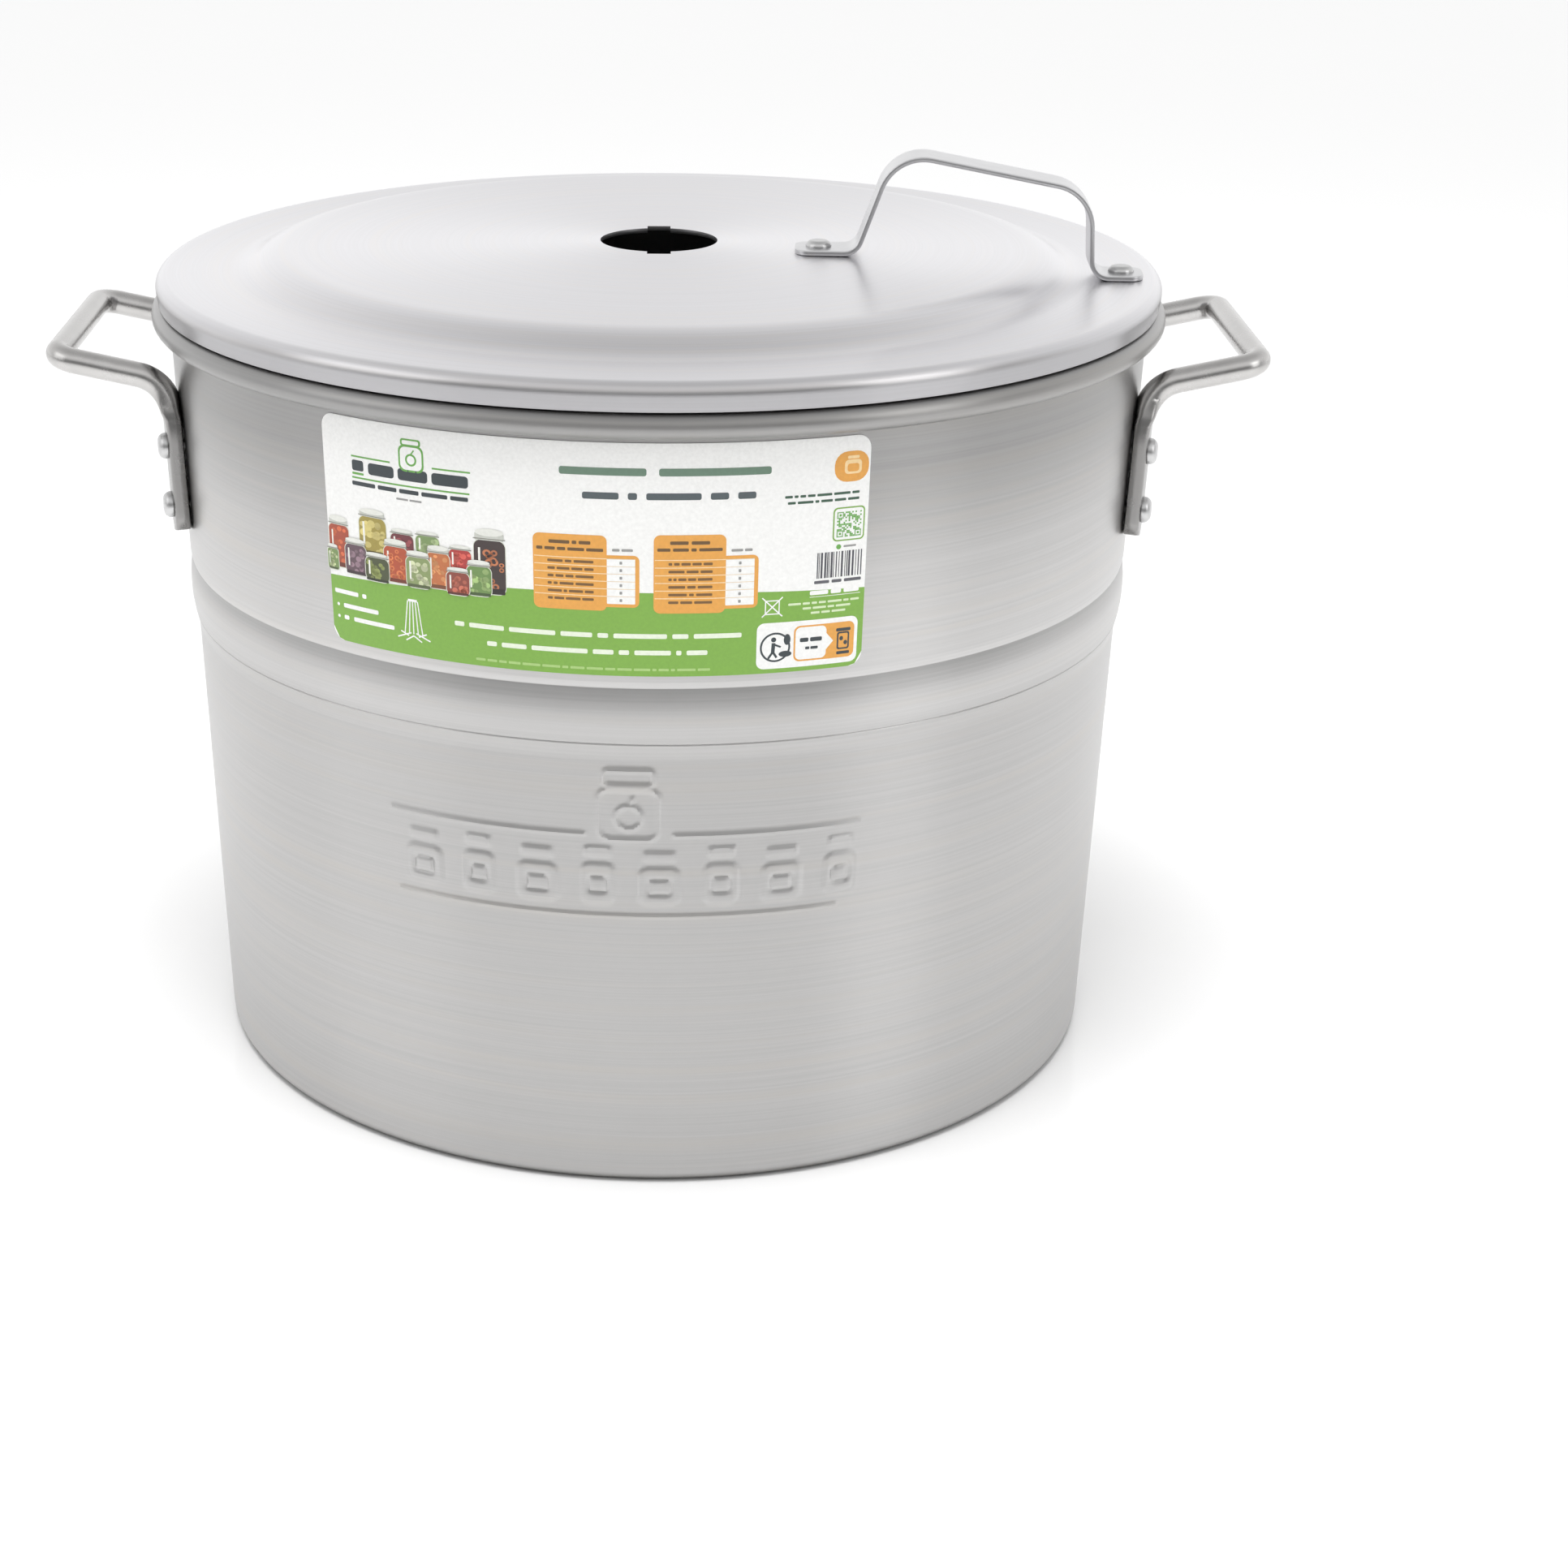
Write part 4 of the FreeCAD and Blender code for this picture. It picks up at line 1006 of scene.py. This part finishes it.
def print_jars(dice):
    """Fourteen preserving jars in three loose rows, the farther ones first.

    Each is (middle, foot, top, width, glass tone, fruit tone, layer, whether its fruit has rings).
    """
    jars = (
        (5.0, 27.6, 46.2, 9.1, (176, 58, 26), (216, 92, 44), 3, False),
        (20.3, 34.5, 51.1, 11.5, (168, 148, 52), (224, 206, 116), 3, False),
        (32.5, 36.0, 45.8, 9.3, (104, 28, 36), (150, 54, 60), 3, False),
        (42.6, 38.0, 46.3, 9.2, (122, 152, 84), (166, 190, 128), 3, False),
        (54.9, 34.0, 43.0, 8.4, (186, 38, 34), (224, 80, 66), 3, False),
        (65.8, 26.8, 50.0, 11.4, (44, 28, 26), (190, 104, 58), 3, True),
        (1.9, 26.2, 35.4, 5.0, (118, 148, 76), (196, 208, 150), 9, False),
        (12.4, 26.1, 39.3, 9.4, (88, 60, 72), (140, 108, 122), 9, False),
        (29.7, 26.2, 41.8, 9.8, (188, 66, 26), (228, 116, 56), 9, True),
        (46.6, 26.4, 41.9, 8.8, (206, 106, 48), (236, 150, 84), 9, False),
        (61.8, 25.7, 38.5, 9.0, (104, 144, 66), (156, 190, 108), 9, False),
        (21.7, 25.2, 35.6, 10.0, (58, 66, 30), (128, 140, 66), 15, False),
        (38.7, 25.6, 38.9, 9.6, (138, 158, 92), (208, 216, 168), 15, False),
        (53.9, 25.1, 35.0, 8.6, (140, 52, 36), (196, 92, 66), 15, False),
    )
    for u, v0, v1, wide, base, bits, layer, rings in jars:
        glass, fruit = (srgb(*(0.8 * level + 26 for level in tone)) for tone in (base, bits))
        jar_picture(u, v0, v1, wide, glass, fruit, dice, layer, rings)


def print_words(dice):
    """Headings at the top, and the text on the green field."""
    word_bars(90.7, 161.6, 71.6, 2.7, srgb(104, 132, 112), 2, (7, 9))
    word_bars(98.4, 156.6, 63.3, 2.4, srgb(78, 88, 92), 2, (4, 1, 6, 2, 2))
    table_print(81.3, 106.6, 117.6, 50.5, 25.2, 43.6, dice)
    table_print(122.4, 146.8, 158.0, 51.0, 24.6, 43.4, dice)
    word_bars(52.0, 152.7, 13.8, 1.7, PALE_TEXT, 2, (2, 7, 9, 6, 2, 10, 3, 9))
    word_bars(64.0, 141.0, 7.8, 1.7, PALE_TEXT, 2, (2, 5, 11, 4, 2, 7, 1, 4))
    small_print(59.7, 142.0, 2.0, 0.9, srgb(168, 202, 122), 2, dice)
    word_bars(1.6, 16.0, 17.6, 1.6, WHITE, 2, (6, 1))
    word_bars(5.4, 21.0, 12.6, 1.6, WHITE, 2, (7,))
    word_bars(5.4, 27.6, 8.2, 1.6, WHITE, 2, (1, 8))
    for v in (13.4, 9.0):
        spot(2.9, v, 0.6, 0.6, WHITE, 2, 9)


def make_label_film():
    """White film with rounded corners: a flat ring of four corners carried along the wall."""
    u, cut = corner_cut(0, LABEL_WIDE, LABEL_CORNER, 72, 8)
    low, high = np.stack([u, cut], 1), np.stack([u, LABEL_TALL - cut], 1)
    outer = [on_wall(line, 0) for line in (low, high)]
    inner = [on_wall(line, (FILM_GAP - FILM) / LAYER) for line in (low, high)]
    ring = np.stack([inner[0], outer[0], outer[1], inner[1]], 1)
    ends = ring.mean(1, keepdims=True).repeat(4, 1)
    ring = np.concatenate([ends[:1], ring, ends[-1:]])
    paper = [np.tile((*WHITE, 1.0), (ring.shape[0] * 4, 1))]
    make_piece("label_film", [ring], "pot", FILM_PRINT, stands_for=("label",), ink=paper)


def make_label_inks():
    """All the printed patches as one thin mesh over the film; the fixed seed keeps them the same."""
    dice = np.random.default_rng(LABEL_SEED)
    green_field()
    print_emblem(dice)
    print_jars(dice)
    print_words(dice)
    print_column_sketch()
    print_tab(dice)
    print_square_code(dice)
    print_bar_code(dice)
    print_marks(dice)
    grids = [on_wall(points, layer) for points, _, layer in stamps]
    inks = [np.tile((*ink, 1.0), (points.shape[1] * 2, 1)) for points, ink, _ in stamps]
    make_piece("label_inks", grids, "pot", FILM_PRINT, wrap=False, ink=inks)


# ---- light and view
# (height of the direction, brightness) from the horizon up, looking to the front and to the back
ROOM_STRENGTH = 1.2
ROOM_FRONT = ((0.0, 0.15), (0.25, 0.22), (0.5, 0.78), (0.75, 0.85), (1.0, 0.48))
ROOM_BACK = ((0.0, 1.0), (0.35, 0.85), (0.6, 0.75), (0.8, 0.6), (1.0, 0.48))
ROOM_TURN = (-0.45, 0.35)

# (name, place, size, power, whether the metal mirrors it)
LAMPS = (
    ("top_softbox", (-0.1, -0.5, 2.4), (1.4, 1.4), 54.0, False),
    ("left_softbox", (-2.4, -1.0, 1.3), (1.8, 1.8), 8.0, True),
    ("right_softbox", (2.2, -1.4, 1.2), (1.2, 1.8), 9.0, True),
)
LAMP_TARGET = Vector((0, 0, 0.2))

FLOOR_WIDE = 40
FLOOR_TONE = (0.84, 0.84, 0.84, 1)
FLOOR_ROUGH = 0.08
LENS = 68.263
LENS_SHIFT = 0.0817
CAMERA_PLACE = (0.0, -1.1445, 0.5455)
CAMERA_TILT = math.radians(68.226)
CAMERA_ROLL = math.radians(0.32)


def make_room(scene):
    """The room: bright at the back and dimmer in front, blended by the direction's Y."""
    world = bpy.data.worlds.new("soft_room")
    scene.world = world
    world.use_nodes = True
    nodes, links = world.node_tree.nodes, world.node_tree.links
    sky = nodes["Background"]
    place = nodes.new("ShaderNodeTexCoord")
    split = nodes.new("ShaderNodeSeparateXYZ")
    links.new(place.outputs["Generated"], split.inputs[0])
    blend = nodes.new("ShaderNodeMix")
    blend.data_type = "RGBA"
    side = nodes.new("ShaderNodeMapRange")
    side.inputs["From Min"].default_value, side.inputs["From Max"].default_value = ROOM_TURN
    links.new(split.outputs["Y"], side.inputs["Value"])
    links.new(side.outputs["Result"], blend.inputs[0])
    for socket, levels in ((MIX_FIRST, ROOM_FRONT), (MIX_SECOND, ROOM_BACK)):
        ramp = nodes.new("ShaderNodeValToRGB")
        links.new(split.outputs["Z"], ramp.inputs[0])
        stops = ramp.color_ramp.elements
        while len(stops) < len(levels):
            stops.new(0.5)
        for stop, (height, level) in zip(stops, levels):
            stop.position = height
            stop.color = (level, level, level, 1)
        links.new(ramp.outputs[0], blend.inputs[socket])
    links.new(blend.outputs[MIX_COLOUR], sky.inputs["Color"])
    sky.inputs["Strength"].default_value = ROOM_STRENGTH


def make_floor():
    """Pale floor, a little glossy, so that it mirrors the foot of the pot."""
    bpy.ops.mesh.primitive_plane_add(size=FLOOR_WIDE)
    floor = bpy.context.object
    floor.name = "studio_floor"
    look, _, shader, _ = paint_box("pale_floor")
    shader.inputs["Base Color"].default_value = FLOOR_TONE
    shader.inputs["Roughness"].default_value = FLOOR_ROUGH
    floor.data.materials.append(look)


def make_lamps(scene):
    """Soft lamps that face the middle of the pot."""
    for name, place, size, power, mirrored in LAMPS:
        lamp = bpy.data.lights.new(name, "AREA")
        lamp.shape = "RECTANGLE"
        lamp.size, lamp.size_y = size
        lamp.energy = power
        light = bpy.data.objects.new(name, lamp)
        light.visible_glossy = mirrored
        scene.collection.objects.link(light)
        light.location = place
        light.rotation_euler = (LAMP_TARGET - Vector(place)).to_track_quat("-Z", "Y").to_euler()


def make_camera(scene):
    """The camera, a little above the lid and tilted down."""
    lens = bpy.data.cameras.new("studio_camera")
    lens.sensor_width = 36.0
    lens.lens = LENS
    lens.shift_x = LENS_SHIFT
    camera = bpy.data.objects.new("studio_camera", lens)
    scene.collection.objects.link(camera)
    tilt = Matrix.Rotation(CAMERA_TILT, 4, "X") @ Matrix.Rotation(CAMERA_ROLL, 4, "Z")
    camera.matrix_world = Matrix.Translation(CAMERA_PLACE) @ tilt
    scene.camera = camera
    scene.view_settings.view_transform = "Standard"


def dress_column():
    """The column and its springs keep their own solids and get a wire and a strip finish."""
    for name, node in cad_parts.items():
        if not name.startswith(("column", "spring")):
            continue
        look = SPRING_STEEL if name.startswith("spring") else COLUMN_STEEL
        node.data.materials.clear()
        node.data.materials.append(look)


make_floor()
make_room(bpy.context.scene)
make_lamps(bpy.context.scene)
make_camera(bpy.context.scene)
make_pot_body()
make_lid()
make_lid_handle()
make_lid_rivets()
for side_name, side_turn in (("right", 0.0), ("left", math.pi)):
    make_side_handle(f"rod_handle_{side_name}", side_turn, f"side_handle_{side_name}")
    make_side_rivets(f"rod_rivets_{side_name}", side_turn, f"side_handle_rivets_{side_name}")
make_label_film()
make_label_inks()
dress_column()
